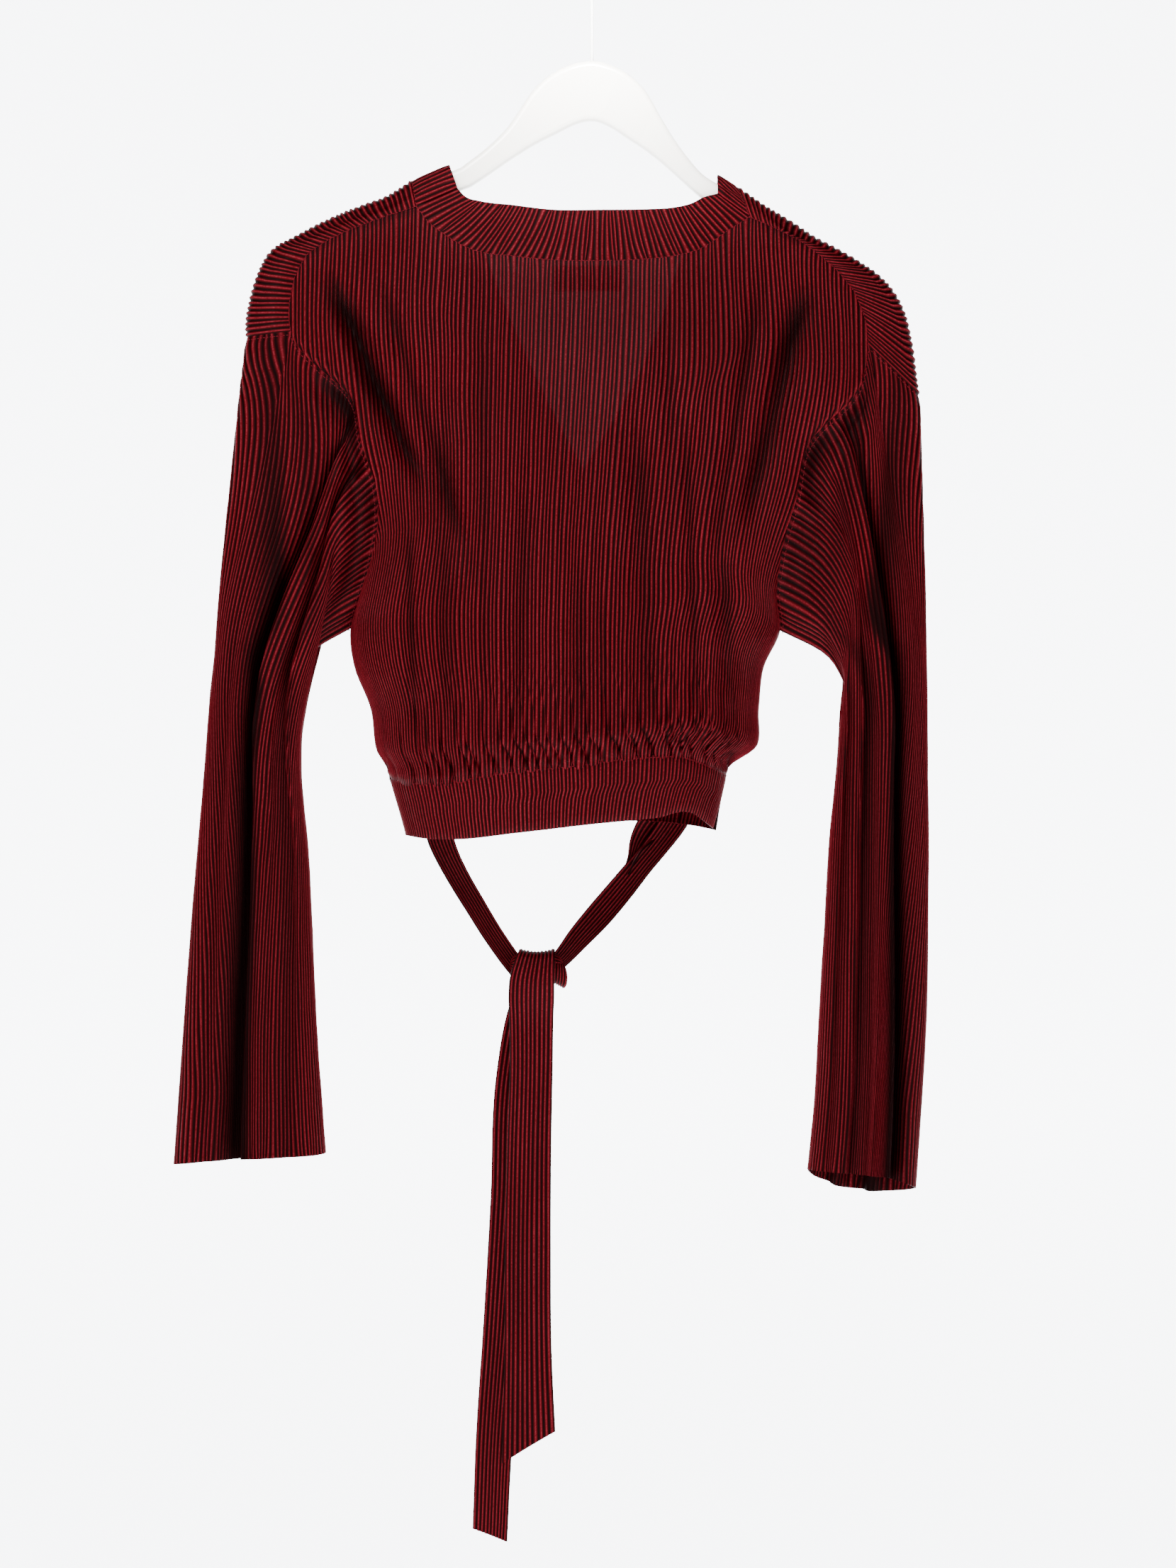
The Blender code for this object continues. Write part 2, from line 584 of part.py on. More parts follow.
def sleeve_grid(side, armhole, columns):
    """A sleeve from its armhole seam to its cuff. The last column repeats the first."""
    sleeve = LEFT_SLEEVE if side < 0 else RIGHT_SLEEVE
    cuff = {name: column[0 if side < 0 else 1] for name, column in CUFFS.items()}
    run = np.concatenate([[0], np.cumsum(np.linalg.norm(np.diff(armhole, axis=0), axis=1))])
    run /= run[-1]
    start = spaced(armhole, DENSE)
    part = np.linspace(0, 1, DENSE)
    quarter = np.array([0, 0.25, 0.5, 0.75, 1])
    cuff_z = smooth(quarter, np.array([cuff[k] for k in ("inner", "back", "outer", "front", "inner")]), part)
    top = DENSE // 2
    first_x, first_y = sleeve_section(sleeve, side, part, 0.0, start[0, 2], start[top, 2])
    low_cap = ease((0.3 - np.minimum(part, 1 - part)) / 0.14)
    grid = []
    for row in SLEEVE_ROWS:
        z = start[:, 2] + (cuff_z - start[:, 2]) * row
        x, y = sleeve_section(sleeve, side, part, row, z[0], z[top])
        hold = 1 - ease(np.array(row / CAP_FADE))
        x = x + side * CAP_PUSH * low_cap * hold * (1 - math.exp(-row / CAP_PUSH_OVER))
        line = np.stack([x + (start[:, 0] - first_x) * hold, y + (start[:, 1] - first_y) * hold, z], axis=1)
        grid.append(spaced(line, columns))
    grid = np.array(grid)
    grid[0] = sewn_to(armhole, run, columns)
    return grid


def sewn_to(armhole, run, columns):
    """The sleeve's first row: every corner of the armhole's line is one of its points."""
    taken = [0]
    for part in run[1:-1]:
        taken.append(max(int(round(part * (columns - 1))), taken[-1] + 1))
    taken.append(columns - 1)
    parts = np.interp(np.arange(columns), taken, run)
    return np.stack([np.interp(parts, run, armhole[:, k]) for k in range(3)], axis=1)


def ribbon_grid(line, columns, slant=0.0, rows=None):
    """A flat tie: rows across it, down its length, from a level top."""
    names = ("x", "y", "z", "wide", "turn")
    knots = np.stack([line[name] for name in names], axis=1)
    run = np.concatenate([[0], np.cumsum(np.linalg.norm(np.diff(knots[:, :3], axis=0), axis=1))])
    want = np.linspace(0, run[-1], rows or len(run) * 2 - 1)
    at = np.stack([smooth(run, knots[:, k], want) for k in range(5)], axis=1)
    way = np.gradient(at[:, :3], axis=0)
    way /= np.linalg.norm(way, axis=1, keepdims=True)
    flat = np.stack([-way[:, 2], np.zeros(len(way)), way[:, 0]], axis=1)
    flat /= np.linalg.norm(flat, axis=1, keepdims=True)
    out = np.cross(flat, way)
    turn = np.radians(at[:, 4])[:, None]
    across = flat * np.cos(turn) + out * np.sin(turn)
    t = np.linspace(-0.5, 0.5, columns)
    grid = at[:, None, :3] + across[:, None, :] * t[None, :, None] * at[:, 3][:, None, None]
    share = (want / run[-1])[:, None] ** 6
    grid[:, :, 2] += slant * t[None, :] * share
    grid[0, :, 2] = at[0, 2]
    return grid


def grid_normals(grid, closed, inside):
    """Unit normals of a grid, pointing away from the points inside."""
    down = np.gradient(grid, axis=0)
    if closed:
        ring = grid[:, :-1]
        step = np.roll(ring, -1, axis=1) - np.roll(ring, 1, axis=1)
        across = np.concatenate([step, step[:, :1]], axis=1)
    else:
        across = np.gradient(grid, axis=1)
    normal = np.cross(down, across)
    normal /= np.maximum(np.linalg.norm(normal, axis=2, keepdims=True), 1e-9)
    if np.sum(normal * (grid - inside)) < 0:
        normal = -normal
    return normal


def draw_in(grid, closed, top=SEAM, bottom=SEAM, first=SEAM, last=SEAM):
    """Stops the grid's edges short of its seams."""
    grid = grid.copy()

    def toward(edge, inner, gap):
        way = inner - edge
        way /= np.linalg.norm(way, axis=-1, keepdims=True)
        run = np.gradient(edge, axis=0)
        run /= np.linalg.norm(run, axis=-1, keepdims=True)
        square = way - run * np.sum(way * run, axis=-1, keepdims=True)
        return edge + way * gap / np.maximum(np.linalg.norm(square, axis=-1, keepdims=True), 0.4)

    grid[0] = toward(grid[0], grid[1], top)
    grid[-1] = toward(grid[-1], grid[-2], bottom)
    if not closed:
        grid[:, 0] = toward(grid[:, 0], grid[:, 1], first)
        grid[:, -1] = toward(grid[:, -1], grid[:, -2], last)
    return grid


def edges_of(grid):
    """Row and column numbers of the points round a grid's edge."""
    rows, columns = grid.shape[:2]
    places = [(r, c) for r in (0, rows - 1) for c in range(columns)]
    return places + [(r, c) for r in range(1, rows - 1) for c in (0, columns - 1)]


def meet_at_seams(pieces):
    """Turns the normals along each seam half way to those of the piece beyond it."""
    rims = []
    for grid, normal in pieces:
        places = edges_of(grid)
        rims.append((np.array([grid[p] for p in places]), np.array([normal[p] for p in places])))
    for k, (grid, normal) in enumerate(pieces):
        others = [rim for j, rim in enumerate(rims) if j != k]
        points = np.concatenate([rim[0] for rim in others])
        beyond = np.concatenate([rim[1] for rim in others])
        for place, own_point, own in zip(edges_of(grid), *rims[k]):
            away = np.linalg.norm(points - own_point, axis=1)
            near = int(np.argmin(away))
            if away[near] < SEAM_REACH and np.dot(own, beyond[near]) > 0.1:
                both = own + beyond[near]
                normal[place] = both / np.linalg.norm(both)


def ribbed_wall(name, grid, normals, closed=False, height=RIB, ends=(0.2, 0.2), finish="cloth",
                wall=WALL):
    """A cloth wall: ridges outside at every other column, plain inside."""
    rows, columns = grid.shape[:2]
    grade = np.ones(rows)
    grade[0], grade[-1] = ends
    ridge = (np.arange(columns) % 2)[None, :] * grade[:, None] * height
    outer = grid + normals * ridge[..., None]
    inner = grid - normals * wall
    if closed:
        outer = outer[:, :-1]
        inner = inner[:, :-1]
    wide = outer.shape[1]
    points = np.concatenate([outer.reshape(-1, 3), inner.reshape(-1, 3)])
    base = rows * wide
    faces = []
    spans = wide if closed else wide - 1
    for c in range(spans):
        near = (c + 1) % wide
        for r in range(rows - 1):
            a, b = r * wide + c, r * wide + near
            faces.append((a, a + wide, b + wide, b))
            faces.append((base + a, base + b, base + b + wide, base + a + wide))
        low = (rows - 1) * wide
        faces.append((c, near, base + near, base + c))
        faces.append((low + near, low + c, base + low + c, base + low + near))
    if not closed:
        for r in range(rows - 1):
            for c in (0, wide - 1):
                a = r * wide + c
                side = (a, base + a, base + a + wide, a + wide)
                faces.append(side if c == 0 else side[::-1])
    return add_object(name, points.tolist(), faces, finish)


def extruded(name, outline, depth, edge, finish):
    """A flat board cut to an outline in x and z, with eased edges."""
    work = bmesh.new()
    ring = [work.verts.new((x * MM, -depth / 2 * MM, (z - HOOK_CURL) * MM)) for x, z in outline]
    face = work.faces.new(ring)
    far = bmesh.ops.extrude_face_region(work, geom=[face])
    moved = [v for v in far["geom"] if isinstance(v, bmesh.types.BMVert)]
    bmesh.ops.translate(work, verts=moved, vec=(0, depth * MM, 0))
    bmesh.ops.recalc_face_normals(work, faces=work.faces)
    rims = [e for e in work.edges if abs(e.verts[0].co.y - e.verts[1].co.y) < 1e-7]
    bmesh.ops.bevel(work, geom=rims, offset=edge * MM, segments=2, profile=0.5, affect="EDGES")
    bmesh.ops.triangulate(work, faces=work.faces)
    mesh = bpy.data.meshes.new(name)
    work.to_mesh(mesh)
    work.free()
    item = bpy.data.objects.new(name, mesh)
    item.data.materials.append(material(finish))
    bpy.context.collection.objects.link(item)
    return item


def swept(name, line, radius, sides, finish):
    """A round wire along a smooth line of points."""
    curve = bpy.data.curves.new(name, "CURVE")
    curve.dimensions = "3D"
    curve.bevel_depth = radius * MM
    curve.bevel_resolution = sides
    curve.use_fill_caps = True
    spline = curve.splines.new("POLY")
    spline.points.add(len(line) - 1)
    for point, (x, y, z) in zip(spline.points, line):
        point.co = (x * MM, y * MM, (z - HOOK_CURL) * MM, 1)
    item = bpy.data.objects.new(name, curve)
    item.data.materials.append(material(finish))
    bpy.context.collection.objects.link(item)
    return item


def arm_line(side, count):
    """Upper line of a hanger arm, just under the shoulder's cloth."""
    line = along(SHOULDER_LEFT if side < 0 else SHOULDER_RIGHT)
    tip = ARM_TIP_LEFT if side < 0 else ARM_TIP_RIGHT
    keep = line[line[:, 0] > tip] if side < 0 else line[line[:, 0] < tip]
    way = np.gradient(keep, axis=0)
    way /= np.linalg.norm(way, axis=1, keepdims=True)
    down = np.stack([way[:, 1], -way[:, 0]], axis=1) * (1 if side < 0 else -1)
    return spaced(keep + down * BOARD_BELOW_CLOTH, count), spaced(down, count)


def hanger():
    left, left_down = arm_line(-1, 9)
    right, right_down = arm_line(1, 9)
    crown = np.stack([BOARD_TOP["x"], BOARD_TOP["z"]], axis=1)
    notch = spaced(np.stack([BOARD_NOTCH["x"], BOARD_NOTCH["z"]], axis=1), 9)
    low_right = (right + right_down * ARM_HEIGHT)
    low_left = (left + left_down * ARM_HEIGHT)
    upper = np.concatenate([left, crown, right[::-1]])
    lower = np.concatenate([low_right[:-1], notch[::-1], low_left[:-1][::-1]])
    outline = np.concatenate([upper, lower])
    extruded("hanger_board", outline, BOARD_THICK, BOARD_EDGE, "board")


def hook():
    """Stem up from the crown, a bend out, and the round hook over the origin."""
    radius = HOOK_RADIUS + WIRE / 2
    centre = HOOK_CURL - HOOK_RADIUS
    stem = [(0, 0, z) for z in (BOARD_TOP["z"].max() + 0.3, -55, -40, -30, -24, -20)]
    bend = [(2.0, 0, -16.2), (6.5, 0, -13.6), (11.8, 0, -11.2), (15.8, 0, -8.0)]
    angles = np.radians(np.linspace(-8, 205, 22))
    curl = [(radius * math.cos(a), 0, centre + radius * math.sin(a)) for a in angles]
    swept("hanger_hook", stem + bend + curl, WIRE / 2, 2, "wire")


def knot():
    """The loose knot as a rounded lump."""
    work = bmesh.new()
    bmesh.ops.create_uvsphere(work, u_segments=20, v_segments=12, radius=1)
    for v in work.verts:
        around = math.atan2(v.co.y, v.co.x)
        full = 1 + 0.05 * math.cos(6 * around + 2 * v.co.z)
        x = KNOT_CENTRE[0] + KNOT_RADII[0] * v.co.x * full
        y = KNOT_CENTRE[1] + KNOT_RADII[1] * v.co.y * full
        z = KNOT_CENTRE[2] + KNOT_RADII[2] * v.co.z
        v.co = (x * MM, y * MM, (z - HOOK_CURL) * MM)
    mesh = bpy.data.meshes.new("knot")
    bmesh.ops.triangulate(work, faces=work.faces)
    work.to_mesh(mesh)
    work.free()
    item = bpy.data.objects.new("knot", mesh)
    item.data.materials.append(material("cloth"))
    bpy.context.collection.objects.link(item)


def label():
    """A plain tab inside the back of the neck."""
    middle = -3.0
    top = -217.0
    x = middle + np.linspace(-0.5, 0.5, 5) * LABEL_WIDE
    z = top - np.linspace(0, 1, 3) * LABEL_HIGH
    grid = np.array([[(a, -body_depth(-1, np.array(a), np.array(b)) + WALL + 0.3 + LABEL_THICK, b)
                      for a in x] for b in z])
    normals = np.zeros_like(grid)
    normals[..., 1] = 1
    ribbed_wall("neck_label", grid, normals, height=0.0, wall=LABEL_THICK, finish="label")


def build():
    clear_scene()
    inside_body = np.array([-24.0, 0.0, -420.0])
    back = back_grid(2 * BACK_PLEATS + 1)
    fronts = {side: front_grid(side, 2 * FRONT_PLEATS + 1) for side in (-1, 1)}
    necks = {side: neckband_grid(side, 7) for side in (-1, 1)}
    neck_back = neck_back_grid(2 * NECK_PLEATS + 1)
    hold = len(OVER_SHOULDER)
    sleeves = {}
    for side in (-1, 1):
        column = 0 if side < 0 else -1
        up_back = back[CORNER_ROW:UNDERARM_ROW + 1, column][::-1]
        front = fronts[side][:, 0]
        down_front = front[1:hold + UNDERARM_ROW - CORNER_ROW]
        loop = np.concatenate([up_back, down_front])
        loop[-1] = loop[0]
        sleeves[side] = sleeve_grid(side, loop, 2 * SLEEVE_PLEATS + 1)

    back_n = grid_normals(back, False, inside_body)
    front_n = {side: grid_normals(fronts[side], False, inside_body) for side in (-1, 1)}
    neck_n = {side: grid_normals(necks[side], False, inside_body) for side in (-1, 1)}
    neck_back_n = grid_normals(neck_back, False, inside_body)
    sleeve_n = {side: grid_normals(sleeves[side], True, sleeves[side].mean(axis=1, keepdims=True))
                for side in (-1, 1)}

    inside_waist = np.array([-24.0, 0.0, -596.0])
    width = BAND_RIGHT - BAND_LEFT
    under_end = (LEFT_WRAP["free_x"][-1] - BAND_LEFT) / width
    over_end = (RIGHT_WRAP["free_x"][-1] - BAND_LEFT) / width
    bands = {
        "waistband_back": band_grid(-1, 0, 1, 2 * BACK_BAND_PLEATS + 1),
        "waistband_left": band_grid(1, 0, under_end, 2 * FRONT_BAND_PLEATS + 1, -1),
        "waistband_right": band_grid(1, 1, over_end, 2 * FRONT_BAND_PLEATS + 1, 1),
    }
    band_n = {name: grid_normals(grid, False, inside_waist) for name, grid in bands.items()}
    meet_at_seams([(back, back_n), (neck_back, neck_back_n)]
                  + [(grid[side], normal[side]) for side in (-1, 1)
                     for grid, normal in ((fronts, front_n), (necks, neck_n), (sleeves, sleeve_n))]
                  + [(grid, band_n[name]) for name, grid in bands.items()])

    ribbed_wall("back_panel", draw_in(back, False), back_n)
    for side, word in ((-1, "left"), (1, "right")):
        ribbed_wall("front_" + word, draw_in(fronts[side], False), front_n[side])
        ribbed_wall("neckband_" + word, draw_in(necks[side], False, last=0), neck_n[side], height=0.0)
        ribbed_wall("sleeve_" + word, draw_in(sleeves[side], True, bottom=0), sleeve_n[side],
                    closed=True, ends=(0.2, 1))
    ribbed_wall("neckband_back", draw_in(neck_back, False, top=0), neck_back_n, ends=(1, 0.2))
    for name, grid in bands.items():
        ribbed_wall(name, draw_in(grid, False, top=WAIST_GAP, bottom=0), band_n[name], ends=(0.2, 0.8))

    ribbons = (
        ("tie_left", LEFT_TIE, 0.0, 13), ("tie_right", RIGHT_TIE, 0.0, 15),
        ("tail_front", FRONT_TAIL, FRONT_TAIL_SLANT, 13), ("tail_back", BACK_TAIL, BACK_TAIL_SLANT, 13),
    )
    for name, line, slant, rows in ribbons:
        grid = ribbon_grid(line, 2 * TIE_PLEATS + 1, slant, rows)
        behind = grid.mean(axis=(0, 1)) + np.array([0.0, 500.0, 0.0])
        ribbed_wall(name, grid, grid_normals(grid, False, behind), height=0.7, ends=(1, 1), wall=1.2)
    knot()
    label()
    hanger()
    hook()


build()
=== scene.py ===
# %% [markdown]
# # A pleated wrap crop top, seen from behind on its hanger
# The top is light jersey pressed into fine pleats, cut as a back, two wrapping fronts, a neckband,
# bell sleeves and a gathered waistband with two long ties. The solids carry the same pieces with
# a few coarse ribs. Here each piece is built again with pleats of the real size, as a thin shell
# that stands where its solid is. All tables are in millimetres, as the solids' own are.

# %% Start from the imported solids
import json
import math

import bmesh
import bpy
import numpy as np
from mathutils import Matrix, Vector
from mathutils.kdtree import KDTree

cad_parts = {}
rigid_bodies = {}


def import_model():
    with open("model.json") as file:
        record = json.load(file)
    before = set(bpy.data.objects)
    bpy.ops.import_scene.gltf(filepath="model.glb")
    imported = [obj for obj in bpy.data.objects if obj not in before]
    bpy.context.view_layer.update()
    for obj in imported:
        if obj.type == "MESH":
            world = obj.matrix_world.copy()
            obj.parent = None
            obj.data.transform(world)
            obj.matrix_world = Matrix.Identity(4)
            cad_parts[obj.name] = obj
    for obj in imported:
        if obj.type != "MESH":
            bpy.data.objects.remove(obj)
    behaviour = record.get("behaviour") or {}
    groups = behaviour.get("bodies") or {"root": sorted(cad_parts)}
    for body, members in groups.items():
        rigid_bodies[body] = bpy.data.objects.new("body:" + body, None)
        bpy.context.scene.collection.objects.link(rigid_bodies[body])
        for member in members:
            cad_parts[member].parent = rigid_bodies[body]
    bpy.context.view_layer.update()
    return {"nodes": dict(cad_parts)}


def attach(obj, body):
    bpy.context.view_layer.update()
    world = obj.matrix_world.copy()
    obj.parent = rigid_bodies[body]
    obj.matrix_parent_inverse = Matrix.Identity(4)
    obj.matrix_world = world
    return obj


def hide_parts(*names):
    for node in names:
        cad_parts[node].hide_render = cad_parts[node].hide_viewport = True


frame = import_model()
MM = 0.001
HOOK_CURL = 16.0
print("solids:", len(frame["nodes"]), "nodes")


def to_world(points):
    """Table millimetres to the frame's metres, whose origin is at the top of the hook's bend."""
    return (np.asarray(points) - np.array([0, 0, HOOK_CURL])) * MM


def placed(name, data):
    item = bpy.data.objects.new(name, data)
    bpy.context.scene.collection.objects.link(item)
    return item


def settled(item):
    """A mesh of the item, with its curve or its nodes worked out."""
    return bpy.data.meshes.new_from_object(item.evaluated_get(bpy.context.evaluated_depsgraph_get()))


def enter(item, node=None):
    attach(item, "root")
    if node:
        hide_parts(node)


# %% [markdown]
# ## Lines and tables
# A garment is drawn as a few measured sections with smooth lines through them. One small set of
# helpers reads a table, runs a smooth curve through it, and cuts a line into equal steps.

# %% Helpers for smooth lines
def table(columns, rows):
    return {name: np.array([row[i] for row in rows], float) for i, name in enumerate(columns.split())}


def rows_of(made):
    """A table's rows, each with its values by name."""
    return [dict(zip(made, row)) for row in zip(*made.values())]


SIDES = ((-1, "left"), (1, "right"))


def for_side(side, left, right):
    return left if side < 0 else right


def smooth(keys, values, at):
    if keys[0] > keys[-1]:
        keys, values = keys[::-1], values[::-1]
    at = np.clip(at, keys[0], keys[-1])
    slope = np.gradient(values, keys)
    i = np.clip(np.searchsorted(keys, at) - 1, 0, len(keys) - 2)
    step = keys[i + 1] - keys[i]
    t = (at - keys[i]) / step
    rest = 1 - t
    return (values[i] * (1 + 2 * t) * rest ** 2 + slope[i] * step * t * rest ** 2
            + values[i + 1] * t ** 2 * (3 - 2 * t) - slope[i + 1] * step * t ** 2 * rest)


def height_of(line, x):
    return smooth(line["x"], line["z"], x)


def across_line(line, t):
    """The x of a line's ends, and all between them."""
    return line["x"][0] + (line["x"][-1] - line["x"][0]) * t


def ease(t):
    t = np.clip(t, 0, 1)
    return t * t * (3 - 2 * t)


def length_along(points):
    steps = np.linalg.norm(np.diff(points, axis=0), axis=1)
    return np.concatenate([[0], np.cumsum(steps)])


def spaced(points, places):
    """Points of a line at the given parts of its length, or at so many equal steps."""
    points = np.asarray(points, float)
    if np.ndim(places) == 0:
        places = np.linspace(0, 1, int(places))
    run = length_along(points)
    return np.stack([np.interp(places * run[-1], run, points[:, k]) for k in range(points.shape[1])], axis=1)


DENSE = 721


def resampled(grid, places):
    """The values of a grid's columns at the given places between them."""
    j = np.arange(len(grid))
    return np.stack([np.interp(places, j, grid[:, k]) for k in range(grid.shape[1])], axis=1)


def along(line, count=DENSE):
    knots = np.stack([line["x"], line["z"]], axis=1)
    run = length_along(knots)
    want = np.linspace(0, run[-1], count * 2)
    return spaced(np.stack([smooth(run, knots[:, k], want) for k in (0, 1)], axis=1), count)


# %% [markdown]
# ## The body's sections
# Each row gives the side lines at one height, how far the cloth stands off at the side and in the
# middle, and how squarely it rises between them. The seams that cross the top are lines of their
# own. They are the numbers that the solids were made from, so that cloth and solids agree.

# %% Sections and seams
BODY = table("z left right edge back front rise", [
    (-140, -206, 181, 9.6, 9.8, 9.8, 1.0), (-175, -206, 181, 9.6, 10.5, 11, 1.0),
    (-213, -206, 181, 10, 19, 20, 1.0), (-224, -209, 182, 10.5, 21, 23, 1.0),
    (-235, -211.5, 185, 11, 24, 26, 0.98), (-254, -213, 192, 12, 28, 31, 0.94),
    (-272, -208, 194, 13, 33, 36, 0.88), (-288, -193, 192, 16, 36, 40, 0.84),
    (-305, -173, 187, 19, 39, 44, 0.8), (-341, -162, 153, 25, 46, 52, 0.75),
    (-380, -150, 143, 28, 52, 58, 0.7), (-422, -154, 132, 24, 58, 63, 0.6),
    (-450, -163, 129, 14, 62, 65, 0.52), (-471, -169, 132, 0, 64, 66, 0.5),
    (-499, -166, 120, 0, 66, 67, 0.5), (-527, -155, 116.5, 0, 67, 67, 0.5),
    (-560, -150, 112, 0, 65, 65, 0.5), (-576, -143, 95, 0, 60, 61, 0.5),
    (-600, -137, 89, 0, 59, 60, 0.5), (-625, -128, 85, 0, 58, 59, 0.5),
])
SEAM_LEFT = table("x z", [
    (-209, -224), (-202.5, -211.5), (-190, -201), (-172.5, -192), (-148, -182.5), (-123.5, -174.5),
])
SEAM_NECK = table("x z", [
    (-123.5, -174.5), (-116.5, -184), (-104.5, -194), (-83, -206), (-57, -210), (-27, -213),
    (7, -213.5), (42, -212), (60, -209.5), (78, -204), (95.5, -192), (111, -182),
])
SEAM_RIGHT = table("x z", [
    (111, -182), (130, -190.5), (148, -200), (162, -210.5), (174.5, -222), (185, -235),
])
NECK_TOP = table("x z", [
    (-94.5, -162), (-88.5, -168), (-78, -171), (-57, -173.5), (-27, -177), (7, -177),
    (42, -176.5), (57, -175.5), (70, -172.5), (79, -168), (88.5, -165.5),
])
WAIST_BACK = table("x z", [
    (-143, -576.5), (-131, -579), (-104, -578.5), (-60, -572), (-14, -567.5), (35, -561.5),
    (66, -562), (81, -567.5), (95, -574),
])
WAIST_FRONT = table("x z", [
    (-143, -576.5), (-94, -576), (-24, -569), (45, -562), (72, -563), (95, -574),
])
HEM_BACK = table("x z", [
    (-131, -617), (-118, -619), (-94, -619.5), (-52, -615), (4, -608.5), (45, -604.5), (69, -601),
    (85, -612),
])
HEM_FRONT = table("x z", [
    (-131, -617), (-94, -618), (-24, -611.5), (30, -607), (52, -608), (70, -610), (85, -613),
])
SHOULDER_LEFT = table("x z", [
    (-243, -266), (-243.5, -259), (-240, -237), (-236.5, -224.5), (-226, -205.5), (-209.5, -195.5),
    (-179.5, -180.5), (-162, -173.5), (-144.5, -167), (-127, -156),
])
SHOULDER_RIGHT = table("x z", [
    (230, -307), (228, -291), (224.5, -266.5), (220, -249), (213, -235), (204, -224.5),
    (192, -215.5), (174.5, -205), (156.5, -195.5), (139, -184), (121.5, -173.5), (102.5, -160.5),
])
LEFT_WRAP = table("w seam_x seam_z free_x free_z", [
    (0, -123.5, -174.5, -94.5, -162), (0.125, -106, -226, -73.5, -212),
    (0.25, -87, -276, -53, -262), (0.375, -62, -331, -29, -313), (0.5, -34.5, -379, -3, -362),
    (0.625, -14.5, -427, 19, -412), (0.75, 4, -477, 38, -465), (0.875, 20, -521, 55, -512),
    (1, 33.5, -563, 69, -562.5),
])
RIGHT_WRAP = table("w seam_x seam_z free_x free_z", [
    (0, 111, -182, 88.5, -165.5), (0.125, 95, -226, 63, -210), (0.25, 79.5, -274, 47, -258),
    (0.375, 57, -321, 26, -303), (0.5, 27, -373, -4, -353), (0.625, -6.5, -427, -37, -406),
    (0.75, -37, -479, -68, -460), (0.875, -62, -530, -95, -516), (1, -83, -575.5, -118, -576.5),
])
BAND_ON_SHOULDER = {-1: np.array([[(-123.5, -174.5), (-94.5, -162)], [(-127, -156), (-100.5, -144.5)]]),
                    1: np.array([[(111, -182), (88.5, -165.5)], [(102.5, -160.5), (88.5, -151.5)]])}
SQUARENESS = 2.4
BAND_LEFT, BAND_RIGHT, BAND_TAPER_LEFT, BAND_TAPER_RIGHT = -143.0, 95.0, 12.0, 10.0
BAND_DEPTH, BAND_HIGH, WAIST_TOP = 60.0, 43.0, -572.0
LAYER = 4.3
SHOULDER_TURN = 8.2
TUCK_ROW = 0.94
CORNER, UNDERARM = 0.11, 0.7
print("body: %.0f mm across the shoulders" % (SHOULDER_RIGHT["x"].max() - SHOULDER_LEFT["x"].min()))


# %% [markdown]
# ## A shell of pleated cloth
# Pressed pleats could be a bump in the material, but their edges would then be smooth where the
# cloth ends against the light. So the pleats are real: a smooth grid of points is pushed out and
# in along its normals, four points to a pleat. No two pleats of a pressed cloth are quite alike,
# so their widths and heights wander a little, from fixed seeds. The shell is half a millimetre
# thick and closed, with its rims marked sharp so that they shade crisply.

# %% Pleats and shells
PER_PLEAT = 4
PROFILE = np.array([0.0, 0.62, 1.0, 0.62])
CLOTH_THICK = 0.5
# Sizes of the folds that get painted shade, and how strongly the small ones darken.
LARGE_FOLD, SMALL_FOLD, SMALL_FOLD_SHADE = (27.0, 8.0), (5.0, 1.7), 0.75


def pleat_places(count, seed, spread=0.22):
    """Parts of a line's length for every point of its pleats."""
    wide = 1 + spread * np.random.default_rng(seed).uniform(-1, 1, count)
    edges = np.concatenate([[0], np.cumsum(wide)]) / wide.sum()
    return np.interp(np.arange(count * PER_PLEAT + 1) / PER_PLEAT, np.arange(count + 1), edges)


def drift(rows, columns, seed, row_step, column_step):
    """Slow random hills over a grid, from -1 to 1. Rows are their own distances down the cloth."""
    r = rows / row_step
    c = np.arange(columns) / column_step
    i, j = r.astype(int), c.astype(int)
    coarse = np.random.default_rng(seed).uniform(-1, 1, (i.max() + 2, j.max() + 2))
    s, t = ease(r - i)[:, None], ease(c - j)[None, :]
    return ((coarse[np.ix_(i, j)] * (1 - s) + coarse[np.ix_(i + 1, j)] * s) * (1 - t)
            + (coarse[np.ix_(i, j + 1)] * (1 - s) + coarse[np.ix_(i + 1, j + 1)] * s) * t)


def strayed(grid, seed, amount=0.45, at_seams=1.5):
    """Moves the pleats a little sideways along their length, and more beside the seams."""
    rows, columns = grid.shape[:2]
    count = columns // PER_PLEAT
    run = length_along(grid[:, columns // 2])
    stray = amount * drift(run, columns, seed, 55.0, 18)
    stray = stray + 0.6 * amount * drift(run, columns, seed + 1, 22.0, 7)
    pairs = np.random.default_rng(seed + 2).uniform(-1, 1, (2, count + 2))
    at = np.arange(columns) / PER_PLEAT
    for far, pair in ((run, pairs[0]), (run[-1] - run, pairs[1])):
        stray += at_seams * np.exp(-far / 9.0)[:, None] * np.interp(at, np.arange(count + 2), pair)[None, :]
    edge = np.minimum(np.arange(columns), columns - 1 - np.arange(columns))
    stray *= ease(edge / (2.0 * PER_PLEAT))[None, :]
    return np.stack([resampled(grid[i], np.arange(columns) + stray[i]) for i in range(rows)])


